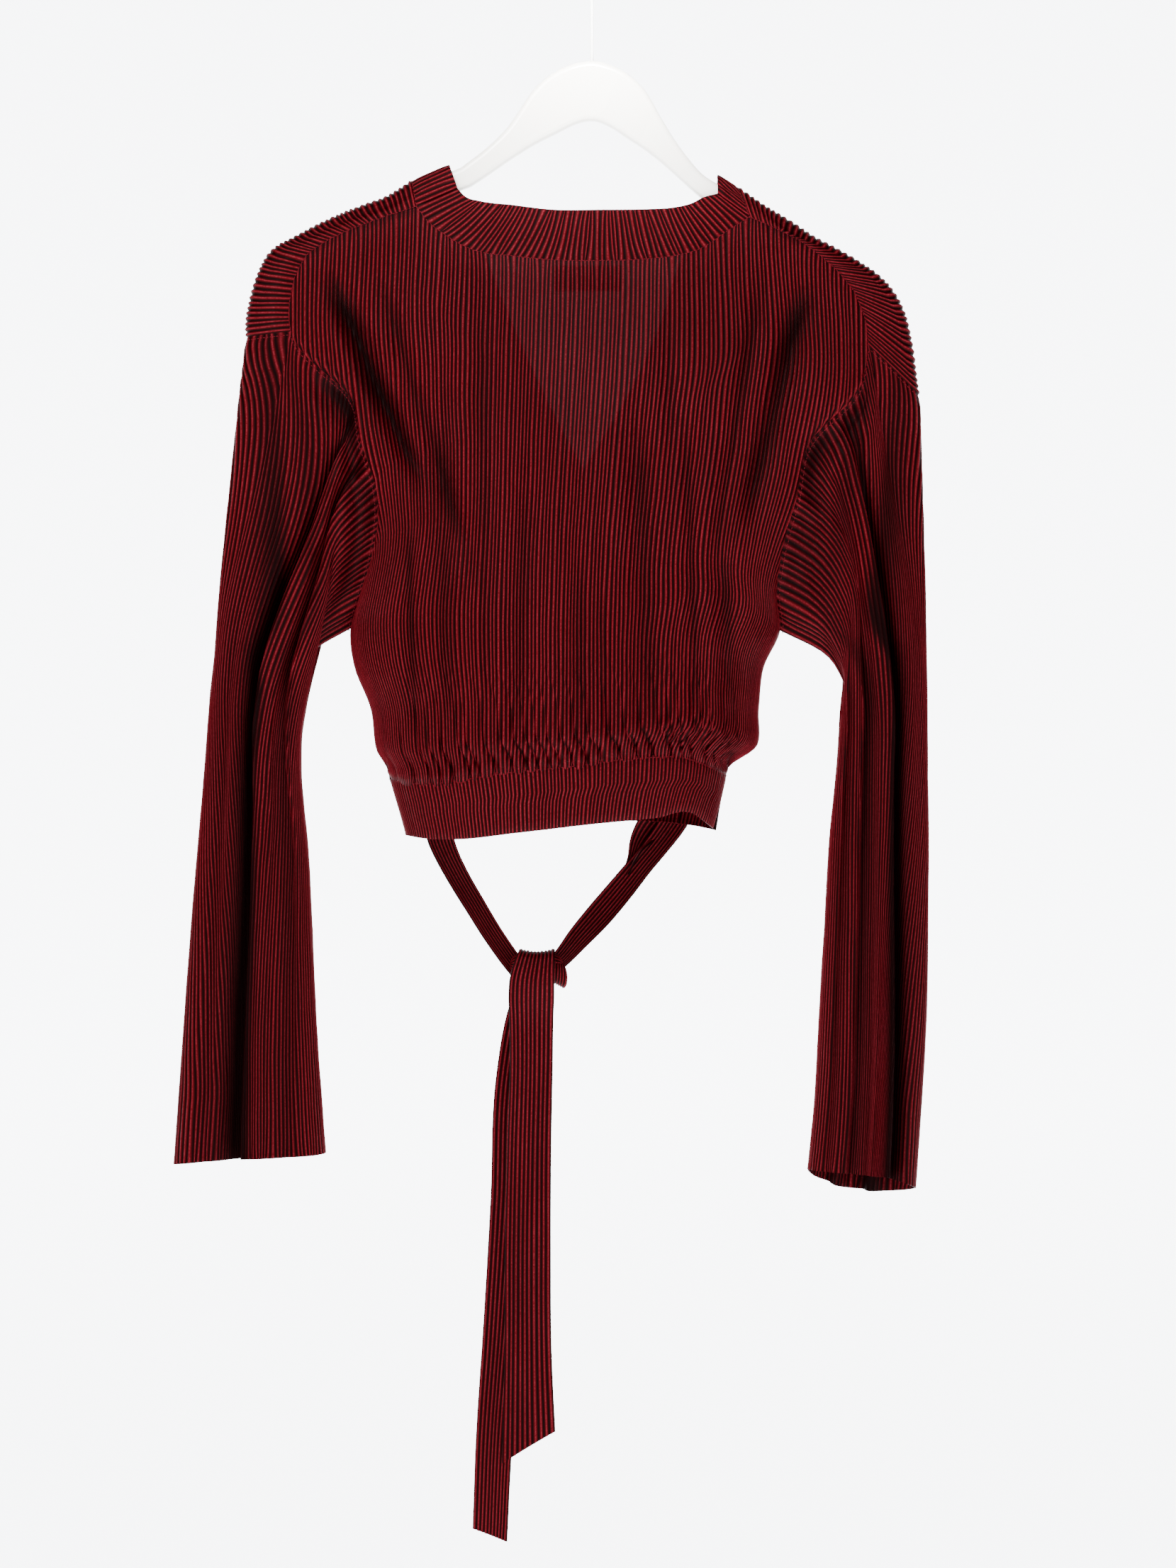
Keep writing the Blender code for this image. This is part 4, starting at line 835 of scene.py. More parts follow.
def sleeve_section(sleeve, side, part, row, z_inner, z_outer):
    outer = smooth(sleeve["z"], sleeve["outer"], z_outer)
    inner, half = (smooth(sleeve["z"], sleeve[name], z_inner) for name in ("inner", "half"))
    angle = 2 * math.pi * part
    round_x = np.sign(np.cos(angle)) * np.abs(np.cos(angle)) ** 0.9
    round_y = np.sign(np.sin(angle)) * np.abs(np.sin(angle)) ** 0.85
    x = (outer + inner) / 2 + (inner - outer) / 2 * round_x
    y = -half * round_y
    across = (1 + round_x) / 2
    inward = np.zeros_like(x)
    for fold, place, depth in folds_of(side, row):
        off = across - place
        width = np.where(off < 0, fold["soft"], fold["sharp"])
        on_face = ease((-round_y * fold["face"] - 0.25) * 1.8)
        lip = 0.22 * np.exp(-((off - 2.2 * fold["sharp"]) / (1.4 * fold["sharp"])) ** 2)
        inward += depth * on_face * (np.exp(-(off / width) ** 2) - lip) * -fold["face"]
        hang = np.exp(-((off - 1.7 * fold["sharp"]) / (0.9 * fold["sharp"])) ** 2)
        x = x + np.sign(outer - inner) * 0.28 * depth * on_face * hang
    beside = row * SLEEVE_LONG
    dip = math.exp(-((beside - 13) / 9) ** 2) * ease(beside / 5)
    back_edge = ease((part - 0.03) / 0.06) * ease((0.4 - part) / 0.07)
    front_edge = ease((0.97 - part) / 0.06) * ease((part - 0.6) / 0.07)
    inward += dip * (9.0 * back_edge - 6.0 * front_edge)
    inward = np.clip(inward, -np.maximum(y - CREASE_ROOM, 0), np.maximum(-y - CREASE_ROOM, 0))
    return x, y + inward


def sewn_to(armhole, run, places):
    """The sleeve's first row, with the corners of the armhole's line kept."""
    taken = np.array([0] + [int(np.argmin(np.abs(places - part))) for part in run[1:-1]] + [len(places) - 1])
    keep = np.concatenate([[True], np.diff(taken) > 0])
    parts = np.interp(np.arange(len(places)), taken[keep], run[keep])
    return np.stack([np.interp(parts, run, armhole[:, k]) for k in range(3)], axis=1)


def sleeve_grid(side, armhole, places):
    sleeve = for_side(side, LEFT_SLEEVE, RIGHT_SLEEVE)
    run = length_along(armhole)
    run /= run[-1]
    start = spaced(armhole, DENSE)
    part = np.linspace(0, 1, DENSE)
    cuff_z = smooth(np.linspace(0, 1, 5), np.array(CUFFS[side], float), part)
    top = DENSE // 2
    first_x, first_y = sleeve_section(sleeve, side, part, 0.0, start[0, 2], start[top, 2])
    low_cap = ease((0.3 - np.minimum(part, 1 - part)) / 0.14)
    grid = []
    for row in SLEEVE_ROWS:
        z = start[:, 2] + (cuff_z - start[:, 2]) * row
        x, y = sleeve_section(sleeve, side, part, row, z[0], z[top])
        hold = 1 - ease(row / CAP_FADE)
        x = x + side * CAP_PUSH * low_cap * hold * (1 - math.exp(-row / CAP_PUSH_OVER))
        line = np.stack([x + (start[:, 0] - first_x) * hold, y + (start[:, 1] - first_y) * hold, z], axis=1)
        grid.append(spaced(line, places))
    grid = np.array(grid)
    grid[0] = sewn_to(armhole, run, places)
    return grid


SLANT = 0.16
CAP_SHADE, FULL_SHADE_FROM, DARKEST, DARK_DEPTH = 0.4, 0.35, 0.9, 17.0


def slanted(grid):
    """Lets the pleats of the outer lobe run on the slant, into the fold beside it."""
    count = grid.shape[1] - 1
    part = np.arange(count + 1) / count
    lobe = ease((part - 0.16) / 0.36) * ease((0.92 - part) / 0.38)
    run = length_along(grid[:, count // 2])
    out = []
    for line, down in zip(grid, run / run[-1]):
        at = np.arange(count + 1) - SLANT * count * lobe * ease(down * 1.3) * min(down * 1.1, 1)
        out.append(resampled(line, at))
    return np.array(out)


def sleeve_shade(side, grid):
    """The shade in the sleeve's long folds, where the lobe beside each one keeps out the light."""
    sleeve = for_side(side, LEFT_SLEEVE, RIGHT_SLEEVE)
    outer, inner = (smooth(sleeve["z"], sleeve[name], grid[..., 2]) for name in ("outer", "inner"))
    across = (grid[..., 0] - outer) / (inner - outer)
    shade = np.zeros_like(across)
    from_cap = CAP_SHADE + (1 - CAP_SHADE) * ease(SLEEVE_ROWS / FULL_SHADE_FROM)[:, None]
    for fold, place, depth in folds_of(side, SLEEVE_ROWS[:, None]):
        off = across - place
        width = np.where(off < 0, 1.3 * fold["soft"], 1.5 * fold["sharp"])
        dark = np.minimum(depth / DARK_DEPTH, DARKEST) * np.exp(-(off / width) ** 2) * from_cap
        shade = np.maximum(shade, np.where(grid[..., 1] * fold["face"] > 0, dark, 0))
    return shade


def armhole_line(side):
    up_back = back[CORNER_ROW:UNDERARM_ROW + 1, for_side(side, 0, -1)][::-1]
    hold = len(OVER_SHOULDER)
    down_front = fronts[side][1:hold + UNDERARM_ROW - CORNER_ROW, 0]
    loop = np.concatenate([up_back, down_front])
    loop[-1] = loop[0]
    return loop


sleeves = {side: slanted(sleeve_grid(side, armhole_line(side), pleat_places(SLEEVE_PLEATS, 31 + side)))
           for side in (-1, 1)}
print("sleeves: %d rows of %d points" % sleeves[-1].shape[:2])


# %% [markdown]
# ## Neckband and waistband
# The neckband is a doubled strip whose pleats run across it. It goes round the back of the neck
# and down both fronts to the waist. The waistband is a firm tube of the same cloth with upright
# pleats and a folded lower edge. Each is a grid between its seam and its free edge.

# %% The neckband
NECK_PLEATS, NECK_LONG_PLEATS = 64, 150


def neckband_front(side, across=11):
    wrap = for_side(side, LEFT_WRAP, RIGHT_WRAP)
    t = np.linspace(0, 1, across)[:, None]
    seam, top = (a + (b - a) * t for a, b in BAND_ON_SHOULDER[side])
    grid = [over_shoulder(seam, top, turn) for turn in OVER_SHOULDER]
    for row in BODY_ROWS[CORNER_ROW + 1:]:
        w = (row - CORNER) / (1 - CORNER)
        a, b = wrap_at(wrap, "seam", w), wrap_at(wrap, "free", w)
        line = a + (b - a) * t
        line[:, 1] += ease((w - 0.8) / 0.2) * waist_dip(
            wrap["seam_x"][-1], wrap["seam_z"][-1], wrap["free_x"][-1], wrap["free_z"][-1], t[:, 0])
        points = layered(line[:, 0], line[:, 1], side, tucked(row))
        points[:, 1] -= folds_in_body(1, points[:, 0], points[:, 2])
        grid.append(points)
    grid = np.array(grid)
    places = pleat_places(NECK_LONG_PLEATS, 41 + side, 0.12)
    return np.stack([spaced(grid[:, j], places) for j in range(across)])


def neckband_back(rows=10):
    t = np.linspace(0, 1, DENSE)
    low_x = across_line(SEAM_NECK, t)
    low = spaced(np.stack([low_x, height_of(SEAM_NECK, low_x)], axis=1), DENSE)
    high = along(NECK_TOP)
    places = pleat_places(NECK_PLEATS, 43, 0.15)
    grid = []
    for down in np.linspace(0, 1, rows):
        line = high + (low - high) * down
        y = -body_depth(-1, line[:, 0], line[:, 1])
        grid.append(spaced(np.stack([line[:, 0], y, line[:, 1]], axis=1), places))
    return np.array(grid)


necks = {side: neckband_front(side) for side in (-1, 1)}
neck_back = neckband_back()

# %% The waistband
BACK_BAND_PLEATS, FRONT_BAND_PLEATS = 104, 72
BAND_ROWS = np.array([0, 0.03, 0.1, 0.25, 0.4, 0.55, 0.7, 0.84, 0.94, 0.985, 1.0])


def band_grid(face, start, end, places, side=0):
    top, low = (WAIST_BACK, HEM_BACK) if face < 0 else (WAIST_FRONT, HEM_FRONT)
    t = (1 - np.cos(np.linspace(0, math.pi, DENSE))) / 2
    part = start + (end - start) * t
    top_z, low_z = (height_of(line, across_line(line, part)) for line in (top, low))
    grid = []
    for down in BAND_ROWS:
        z = top_z + (low_z - top_z) * down
        left, right = band_sides(down)
        x = left + (right - left) * part
        if face < 0:
            row = np.stack([x, -body_depth(-1, x, z, 1.0), z], axis=1)
        else:
            row = layered(x, z, side, 1.0)
        row[:, 1] -= face * 1.6 * ease((down - 0.9) / 0.1) ** 2
        grid.append(spaced(row, places))
    return np.array(grid)


under_end, over_end = ((wrap["free_x"][-1] - BAND_LEFT) / (BAND_RIGHT - BAND_LEFT)
                       for wrap in (LEFT_WRAP, RIGHT_WRAP))
bands = {
    "waistband_back": band_grid(-1, 0, 1, pleat_places(BACK_BAND_PLEATS, 51, 0.16)),
    "waistband_left": band_grid(1, 0, under_end, pleat_places(FRONT_BAND_PLEATS, 52, 0.16), -1),
    "waistband_right": band_grid(1, 1, over_end, pleat_places(FRONT_BAND_PLEATS, 53, 0.16), 1),
}
print("bands: %d pleats round the waist" % (BACK_BAND_PLEATS + 2 * FRONT_BAND_PLEATS))


# %% [markdown]
# ## Sewing the pieces together
# Two pieces that meet at a seam must also face the same way there, or a bright or dark line shows
# along it. Each point on a piece's edge takes the mean of its own normal and the nearest one
# beyond the seam, and the pleats sink to the seam line.

# %% Shared normals and the cloth shells
SEAM_REACH = 6.0


def edge_places(grid):
    rows, columns = grid.shape[:2]
    r, c = np.arange(rows), np.arange(columns)
    return (np.concatenate([0 * c, 0 * c + rows - 1, r, r]),
            np.concatenate([c, c, 0 * r, 0 * r + columns - 1]))


def meet_at_seams(pieces):
    rims = [(grid[edge_places(grid)], normal[edge_places(grid)]) for grid, normal in pieces]
    for k, (grid, normal) in enumerate(pieces):
        points, beyond = (np.concatenate([rim[m] for j, rim in enumerate(rims) if j != k]) for m in (0, 1))
        tree = KDTree(len(points))
        for i, point in enumerate(points):
            tree.insert(point, i)
        tree.balance()
        for i, (row, column) in enumerate(zip(*edge_places(grid))):
            _, near, away = tree.find(rims[k][0][i])
            if away < SEAM_REACH and np.dot(rims[k][1][i], beyond[near]) > 0.1:
                both = rims[k][1][i] + beyond[near]
                normal[row, column] = both / np.linalg.norm(both)


back = strayed(back, 301)
neck_back = strayed(neck_back, 304, 0.9, 2.2)
for side in (-1, 1):
    fronts[side] = strayed(fronts[side], 307 + side)
    necks[side] = strayed(necks[side], 311 + side, 0.8, 1.8)
    sleeves[side] = strayed(sleeves[side], 315 + side)
bands = {name: strayed(grid, 320 + k, 0.4, 0.5) for k, (name, grid) in enumerate(bands.items())}
normals = {"back": grid_normals(back, INSIDE_BODY), "neck": grid_normals(neck_back, INSIDE_BODY)}
for side in (-1, 1):
    normals["front", side] = grid_normals(fronts[side], INSIDE_BODY)
    normals["neck", side] = grid_normals(necks[side], INSIDE_BODY)
    normals["sleeve", side] = grid_normals(sleeves[side], sleeves[side].mean(axis=1, keepdims=True), True)
for name, grid in bands.items():
    normals[name] = grid_normals(grid, INSIDE_WAIST)
meet_at_seams([(back, normals["back"]), (neck_back, normals["neck"])]
              + [(grid, normals[name]) for name, grid in bands.items()]
              + [(group[side], normals[word, side]) for side in (-1, 1)
                 for word, group in (("front", fronts), ("neck", necks), ("sleeve", sleeves))])

cloth, grids = {}, {}


def sewn_in(piece, node, name, grid):
    grids[name] = grid
    enter(piece, node)
    cloth[name] = piece


def dress(node, grid, normal, height, seed, ends=(0.15, 0.15), fade=3, closed=False, material=JERSEY,
          shade=0.0):
    heights = pleat_heights(grid, height, seed, ends, fade)
    sewn_in(shell("cloth_" + node, grid, normal, heights, material, closed, shade=shade), node, node, grid)


PLEAT = 1.05
dress("back_panel", back, normals["back"], PLEAT, 61, material=SHEER)
for side, word in SIDES:
    dress("front_" + word, fronts[side], normals["front", side], 1.45, 63 + side)
    dress("sleeve_" + word, sleeves[side], normals["sleeve", side], PLEAT, 67 + side, (0.15, 1), closed=True,
          shade=sleeve_shade(side, sleeves[side]))
    dress("neckband_" + word, necks[side], normals["neck", side], 1.0, 71 + side, (0.3, 0.6), 2)
dress("neckband_back", neck_back, normals["neck"], 0.9, 74, (0.6, 0.15), 2)
for name, grid in bands.items():
    dress(name, grid, normals[name], 0.85, 75, (0.15, 0.7), 2)


# %% [markdown]
# ## Ties and tails
# A tie is a flat strip of the same pleated cloth, with the pleats along it. It is given by its
# middle line, its width and how far it turns about that line. Near the knot it narrows, and the
# pleats crowd together. The tails hang free and end in a slanted cut.

# %% Ties and tails
LEFT_TIE = table("x y z wide turn", [
    (-108.5, 42.4, -616, 21, 22), (-107, 43, -622, 20, 24), (-103.5, 44, -631, 18.5, 24),
    (-96, 46, -646, 17, 24), (-83, 47.5, -668, 16, 24), (-70, 47.5, -689, 15.5, 26),
    (-57, 46.3, -707.5, 15, 28), (-46, 44.5, -722, 13, 30),
])
RIGHT_TIE = table("x y z wide turn", [
    (61, 45.5, -603.5, 20, -8), (55, 46, -613, 19, -12), (46, 46.4, -625, 18, -16),
    (36, 46.6, -637, 18, -18), (21, 47, -655.5, 19.5, -20), (4, 47, -675.5, 20, -22),
    (-9, 46.5, -690, 18, -24), (-22.5, 46, -705.8, 14, -26), (-31, 45, -714, 12, -26),
])
TIE_FOLD = table("x y z wide turn", [
    (47, 51, -605, 20, 12), (40, 51, -613, 19, -10), (33, 50.5, -623, 16, -38), (28.5, 50, -634, 12, -58),
    (24, 49.5, -645, 8, -60),
])
FRONT_TAIL = table("x y z wide turn", [
    (-39, 52, -706, 22, 0), (-39, 47, -700.6, 24, 0), (-39, 40.5, -698.6, 25, 0),
    (-39.5, 34.6, -701.5, 26, 0),
    (-41, 31.4, -710, 28.5, 0), (-42.5, 31.0, -720, 31.5, 2), (-43, 33, -732, 32.5, 4),
    (-43, 36.5, -746, 31.5, 6), (-43, 39, -775, 30.5, 6), (-44.5, 41, -840, 31, 4),
    (-45.5, 42, -910, 32.5, 4),
    (-45.5, 43, -985, 33.5, 6), (-45, 43, -1054, 38, 6),
])
BACK_TAIL = table("x y z wide turn", [
    (-44, 50, -730.2, 24, -12), (-48, 51, -750, 28, -14), (-54, 52, -790, 30, -16),
    (-58, 53, -880, 30, -14), (-64, 54, -970, 29, -18), (-70, 54, -1050, 28, -22),
    (-73, 54, -1118, 27, -24),
])
KNOT_CENTRE = np.array([-39.5, 45.5, -715.0])


def ribbon_grid(line, rows, slant, cup, places, steady=False):
    knots = np.stack([line[name] for name in ("x", "y", "z", "wide", "turn")], axis=1)
    run = length_along(knots[:, :3])
    want = np.linspace(0, run[-1], rows)
    at = np.stack([smooth(run, knots[:, k], want) for k in range(5)], axis=1)
    way = np.gradient(at[:, :3], axis=0)
    way /= np.linalg.norm(way, axis=1, keepdims=True)
    flat = np.stack([-way[:, 2], np.zeros(rows), way[:, 0]], axis=1)
    if steady:
        flat = np.array([1.0, 0, 0]) - way * way[:, :1]
    flat /= np.linalg.norm(flat, axis=1, keepdims=True)
    out = np.cross(flat, way)
    turn = np.radians(at[:, 4])[:, None]
    across = flat * np.cos(turn) + out * np.sin(turn)
    face = out * np.cos(turn) - flat * np.sin(turn)
    t = places - 0.5
    grid = at[:, None, :3] + across[:, None, :] * t[None, :, None] * at[:, 3][:, None, None]
    curl = cup * (1 - (2 * t) ** 2)
    grid += face[:, None, :] * curl[None, :, None]
    grid[:, :, 2] += slant * t[None, :] * ((want / run[-1]) ** 6)[:, None]
    grid[0, :, 2] = at[0, 2]
    return grid


ribbons = {
    "tie_left": (LEFT_TIE, 48, 0.0, 1.5, 81, 8), "tie_right": (RIGHT_TIE, 56, 0.0, 1.5, 82, 8),
    "tie_right_fold": (TIE_FOLD, 30, 0.0, 2.0, 85, 6),
    "tail_front": (FRONT_TAIL, 120, 22.0, 2.2, 83, 10), "tail_back": (BACK_TAIL, 90, -7.0, 1.0, 84, 10),
}
for name, (line, rows, slant, cup, seed, pleats) in ribbons.items():
    grid = ribbon_grid(line, rows, slant, cup, pleat_places(pleats, seed, 0.18), name == "tail_front")
    grid[:, :, 1] += 0.8 * drift(length_along(grid[:, 0]), grid.shape[1], seed + 5, 45.0, 14)
    normal = grid_normals(grid, grid.mean(axis=(0, 1)) + np.array([0.0, 500.0, 0.0]))
    heights = pleat_heights(grid, 0.95, seed, (1, 1), 1)
    sewn_in(shell("cloth_" + name, grid, normal, heights, JERSEY), name.replace("_fold", ""), name, grid)


# %% [markdown]
# ## The knot
# The two ties cross, and the front tail passes over the top and hangs down. Seen close there are
# two pleated forms beside it: a closed core lying across, drawn in at its ends, and a small nub
# where the other end turns under. Together they fill the solid that stands for the knot.

# %% The knot's core and nub
def knot_core(rows, places):
    """A closed bundle that lies across the knot, thick in the middle, drawn in at its ends."""
    t = np.linspace(-1, 1, rows)
    angle = 2 * math.pi * places
    fat = np.maximum(1 - np.abs(t) ** 2.6, 0.02) ** 0.5
    axis_x = KNOT_CENTRE[0] + 18.5 * t
    axis_z = KNOT_CENTRE[2] + 1.5 + 3.0 * t ** 2
    y = KNOT_CENTRE[1] + 10.5 * fat[:, None] * np.sin(angle)[None, :]
    z = axis_z[:, None] + 12.0 * fat[:, None] * np.cos(angle)[None, :]
    return np.stack([np.repeat(axis_x[:, None], len(places), axis=1), y, z], axis=2)


def knot_nub(rows, places):
    """The end that turns under at the right."""
    angle = np.linspace(math.radians(70), math.radians(-80), rows)
    t = np.linspace(0, 1, rows)
    middle = np.stack([-24.0 + 1.5 * np.cos(angle), KNOT_CENTRE[1] - 9.0 * np.cos(angle),
                       KNOT_CENTRE[2] - 1.0 + 8.5 * np.sin(angle)], axis=1)
    across = np.tile([math.cos(0.5), 0.2, -math.sin(0.5)], (rows, 1))
    across /= np.linalg.norm(across, axis=1, keepdims=True)
    wide = 9 + 3 * np.sin(math.pi * t)
    return middle[:, None, :] + across[:, None, :] * (places - 0.5)[None, :, None] * wide[:, None, None]


core = knot_core(26, pleat_places(18, 91, 0.18))
nub = knot_nub(20, pleat_places(5, 93, 0.18))
for word, grid, closed in (("core", core, True), ("nub", nub, False)):
    normal = grid_normals(grid, KNOT_CENTRE, closed)
    heights = pleat_heights(grid, 0.95, 94, (0.5, 0.8), 2)
    sewn_in(shell("cloth_knot_" + word, grid, normal, heights, JERSEY, closed), "knot", "knot_" + word, grid)


# %% [markdown]
# ## Label
# A plain woven tab hangs inside the back of the neck. It is a thin strip, sewn at its top.

# %% The label
LABEL_WIDE, LABEL_HIGH = 48.0, 18.0


def label_material():
    woven = Finish("woven label", {"Roughness": 0.75, "Specular IOR Level": 0.2})
    place = woven.node("ShaderNodeUVMap", {"uv_map": "UVMap"})
    at = woven.node("ShaderNodeSeparateXYZ", {}, {0: place})
    ribs = 0.5 + 0.5 * (at.out(1) * 9000.0).math("SINE")
    colour = woven.mix((0.010, 0.0004, 0.0008, 1), (0.020, 0.0009, 0.0016, 1), ribs)
    return woven.feed({"Base Color": colour})


label_x = -3.0 + np.linspace(-0.5, 0.5, 13) * LABEL_WIDE
label_z = -217.0 - np.linspace(0, 1, 9) * LABEL_HIGH
label_grid = np.array([[(a, -body_depth(-1, np.array(a), np.array(b)) + 2.6, b) for a in label_x]
                       for b in label_z])
label_normals = np.zeros_like(label_grid)
label_normals[..., 1] = 1
label = shell("label_tab", label_grid, label_normals, np.zeros(label_grid.shape[:2]), label_material(),
              thick=0.6)
enter(label, "neck_label")


# %% [markdown]
# ## Hanger
# The hanger is a painted board with a smooth crown, on a white wire hook. The board's outline is
# drawn as one filled curve, extruded and given a rounded edge, then made a mesh. The wire is one
# curve with a round section. Both have a thick pale lacquer with a slight orange-peel surface.

# %% The board and the hook
BOARD_TOP = table("x z", [
    (-92.5, -146.5), (-72, -130.5), (-60.5, -119), (-50.5, -105), (-44, -95),
    (-33.5, -84), (-21, -76), (-8, -71.8), (0, -71), (13.5, -74), (30, -84),
    (37.5, -92), (49, -111.5), (57, -124.5), (68.5, -140.5), (78.5, -151.5), (90, -159),
])
BOARD_NOTCH = table("x z", [(-85.5, -160), (-30, -125), (0, -113.5), (30, -129), (80.5, -171)])
ARM_TIP_LEFT, ARM_TIP_RIGHT = -207.0, 202.0
BOARD_THICK, BOARD_EDGE, ARM_HEIGHT, BOARD_BELOW_CLOTH = 12.0, 4.0, 14.5, 3.6
WIRE, HOOK_RADIUS = 2.6, 18.0


def arm_line(side, count):
    line = along(for_side(side, SHOULDER_LEFT, SHOULDER_RIGHT))
    keep = line[(line[:, 0] > ARM_TIP_LEFT) & (line[:, 0] < ARM_TIP_RIGHT)]
    way = np.gradient(keep, axis=0)
    way /= np.linalg.norm(way, axis=1, keepdims=True)
    down = np.stack([way[:, 1], -way[:, 0]], axis=1) * (1 if side < 0 else -1)
    return spaced(keep + down * BOARD_BELOW_CLOTH, count), spaced(down, count)


def board_outline():
    left, left_down = arm_line(-1, 25)
    right, right_down = arm_line(1, 25)
    crown = along(BOARD_TOP, 90)
    notch = spaced(along(BOARD_NOTCH, 200), 50)
    low_right, low_left = right + right_down * ARM_HEIGHT, left + left_down * ARM_HEIGHT
    upper = np.concatenate([left, crown, right[::-1]])
    lower = np.concatenate([low_right[:-1], notch[::-1], low_left[:-1][::-1]])
    return np.concatenate([upper, lower])


def curve_to_mesh(curve, points, name, material):
    flat = curve.dimensions == "2D"
    spline = curve.splines.new("POLY")
    spline.points.add(len(points) - 1)
    for point, (x, z) in zip(spline.points, points):
        x, y, z = to_world((x, 0, z))
        point.co = (x, z, y, 1) if flat else (x, y, z, 1)
    spline.use_cyclic_u = flat
    made = placed(name + "_curve", curve)
    mesh = settled(made)
    bpy.data.objects.remove(made)
    mesh.name = name
    mesh.materials.clear()
    mesh.materials.append(material)
    return placed(name, mesh)


def lacquer(name, colour, rough, coat):
    paint = Finish(name, {"Coat Weight": coat, "Coat Roughness": 0.12, "Specular IOR Level": 0.5})
    place = paint.node("ShaderNodeTexCoord", {}, {}, 3)
    wide = paint.noise(place, 9.0)
    fine = paint.noise(place, 420.0, 1.0)
    shade = tuple(c * 0.965 for c in colour[:3]) + (1,)
    bump = paint.node("ShaderNodeBump", {}, {"Strength": 0.06, "Distance": 0.0004, "Height": fine})
    return paint.feed({"Base Color": paint.mix(colour, shade, wide), "Roughness": rough + 0.08 * wide,
                       "Normal": bump})


board_curve = bpy.data.curves.new("board", "CURVE")
board_curve.dimensions = "2D"
board_curve.fill_mode = "BOTH"
board_curve.extrude = (BOARD_THICK / 2 - BOARD_EDGE) * MM
board_curve.bevel_depth = BOARD_EDGE * MM
board_curve.bevel_resolution = 4
board_curve.offset = -BOARD_EDGE * MM
board = curve_to_mesh(board_curve, board_outline(), "board_painted",
                      lacquer("white lacquer on wood", (0.96, 0.925, 0.85, 1), 0.24, 0.5))
for vertex in board.data.vertices:
    x, y, z = vertex.co
    vertex.co = (x, -z, y)

hook_curve = bpy.data.curves.new("hook", "CURVE")
hook_curve.dimensions = "3D"
hook_curve.bevel_depth = WIRE / 2 * MM
hook_curve.bevel_resolution = 5
hook_curve.use_fill_caps = True
turn_radius = HOOK_RADIUS + WIRE / 2
stem = [(0, z) for z in (-71.5, -60, -45, -32, -24, -20)]
bend = [(2.0, -16.2), (6.5, -13.6), (11.8, -11.2), (15.8, -8.0)]
curl = [(turn_radius * math.cos(a), HOOK_CURL - HOOK_RADIUS + turn_radius * math.sin(a))
        for a in np.radians(np.linspace(-8, 205, 60))]
wire = curve_to_mesh(hook_curve, stem + bend + curl, "hook_wire",
                     lacquer("white coated wire", (0.8, 0.8, 0.78, 1), 0.26, 0.4))
for item, slot, node in ((board, "board", "hanger_board"), (wire, "wire", "hanger_hook")):
    item.data.shade_smooth()
    enter(item, node)
print("hanger: %d faces" % (len(board.data.polygons) + len(wire.data.polygons)))


# %% [markdown]
# ## Stitches
# Fine overlock stitches show along the seams as a thin, broken line. Each seam is a
# line of points on the cloth. Geometry Nodes puts one small rounded stitch on each point, turned
# along the seam, and varies its size. The stitches are far too many to place by hand.

# %% Seam lines and the stitch tree
STITCH_STEP = 2.4


def stitch_tree():
    tree = bpy.data.node_groups.new("stitches", "GeometryNodeTree")
    tree.interface.new_socket("Geometry", in_out="INPUT", socket_type="NodeSocketGeometry")
    for name, kind, value in (("Stitch length", "NodeSocketFloat", 0.0019),
                              ("Stitch radius", "NodeSocketFloat", 0.00034),
                              ("Spacing", "NodeSocketFloat", 0.0024), ("Seed", "NodeSocketInt", 5)):
        tree.interface.new_socket(name, in_out="INPUT", socket_type=kind).default_value = value
    tree.interface.new_socket("Material", in_out="INPUT", socket_type="NodeSocketMaterial")
    tree.interface.new_socket("Geometry", in_out="OUTPUT", socket_type="NodeSocketGeometry")

    def add(kind, **settings):
        made = tree.nodes.new(kind)
        for key, value in settings.items():
            setattr(made, key, value)
        return made

    start, end = add("NodeGroupInput"), add("NodeGroupOutput")
    curve = add("GeometryNodeMeshToCurve")
    points = add("GeometryNodeCurveToPoints", mode="LENGTH")
    bead = add("GeometryNodeMeshUVSphere")
    half = add("ShaderNodeMath", operation="MULTIPLY")
    shape = add("ShaderNodeCombineXYZ")
    place = add("GeometryNodeInstanceOnPoints")
    vary = add("FunctionNodeRandomValue", data_type="FLOAT_VECTOR")
    squash = add("GeometryNodeTransform")
    real, paint = add("GeometryNodeRealizeInstances"), add("GeometryNodeSetMaterial")
    for made, into, value in ((bead, "Segments", 6), (bead, "Rings", 4), (bead, "Radius", 1.0),
                              (half, 1, 0.5), (vary, 0, (0.8, 0.8, 0.7)), (vary, 1, (1.15, 1.15, 1.15))):
        made.inputs[into].default_value = value
    for made, out, to, into in (
            (start, "Geometry", curve, "Mesh"), (curve, "Curve", points, "Curve"),
            (start, "Spacing", points, "Length"), (start, "Stitch length", half, 0),
            (start, "Stitch radius", shape, 0), (start, "Stitch radius", shape, 1), (half, 0, shape, 2),
            (bead, "Mesh", squash, "Geometry"), (shape, 0, squash, "Scale"),
            (points, "Points", place, "Points"), (points, "Rotation", place, "Rotation"),
            (squash, "Geometry", place, "Instance"), (start, "Seed", vary, "Seed"), (vary, 0, place, "Scale"),
            (place, "Instances", real, "Geometry"), (real, "Geometry", paint, "Geometry"),
            (start, "Material", paint, "Material"), (paint, "Geometry", end, "Geometry")):
        tree.links.new(made.outputs[out], to.inputs[into])
    return tree


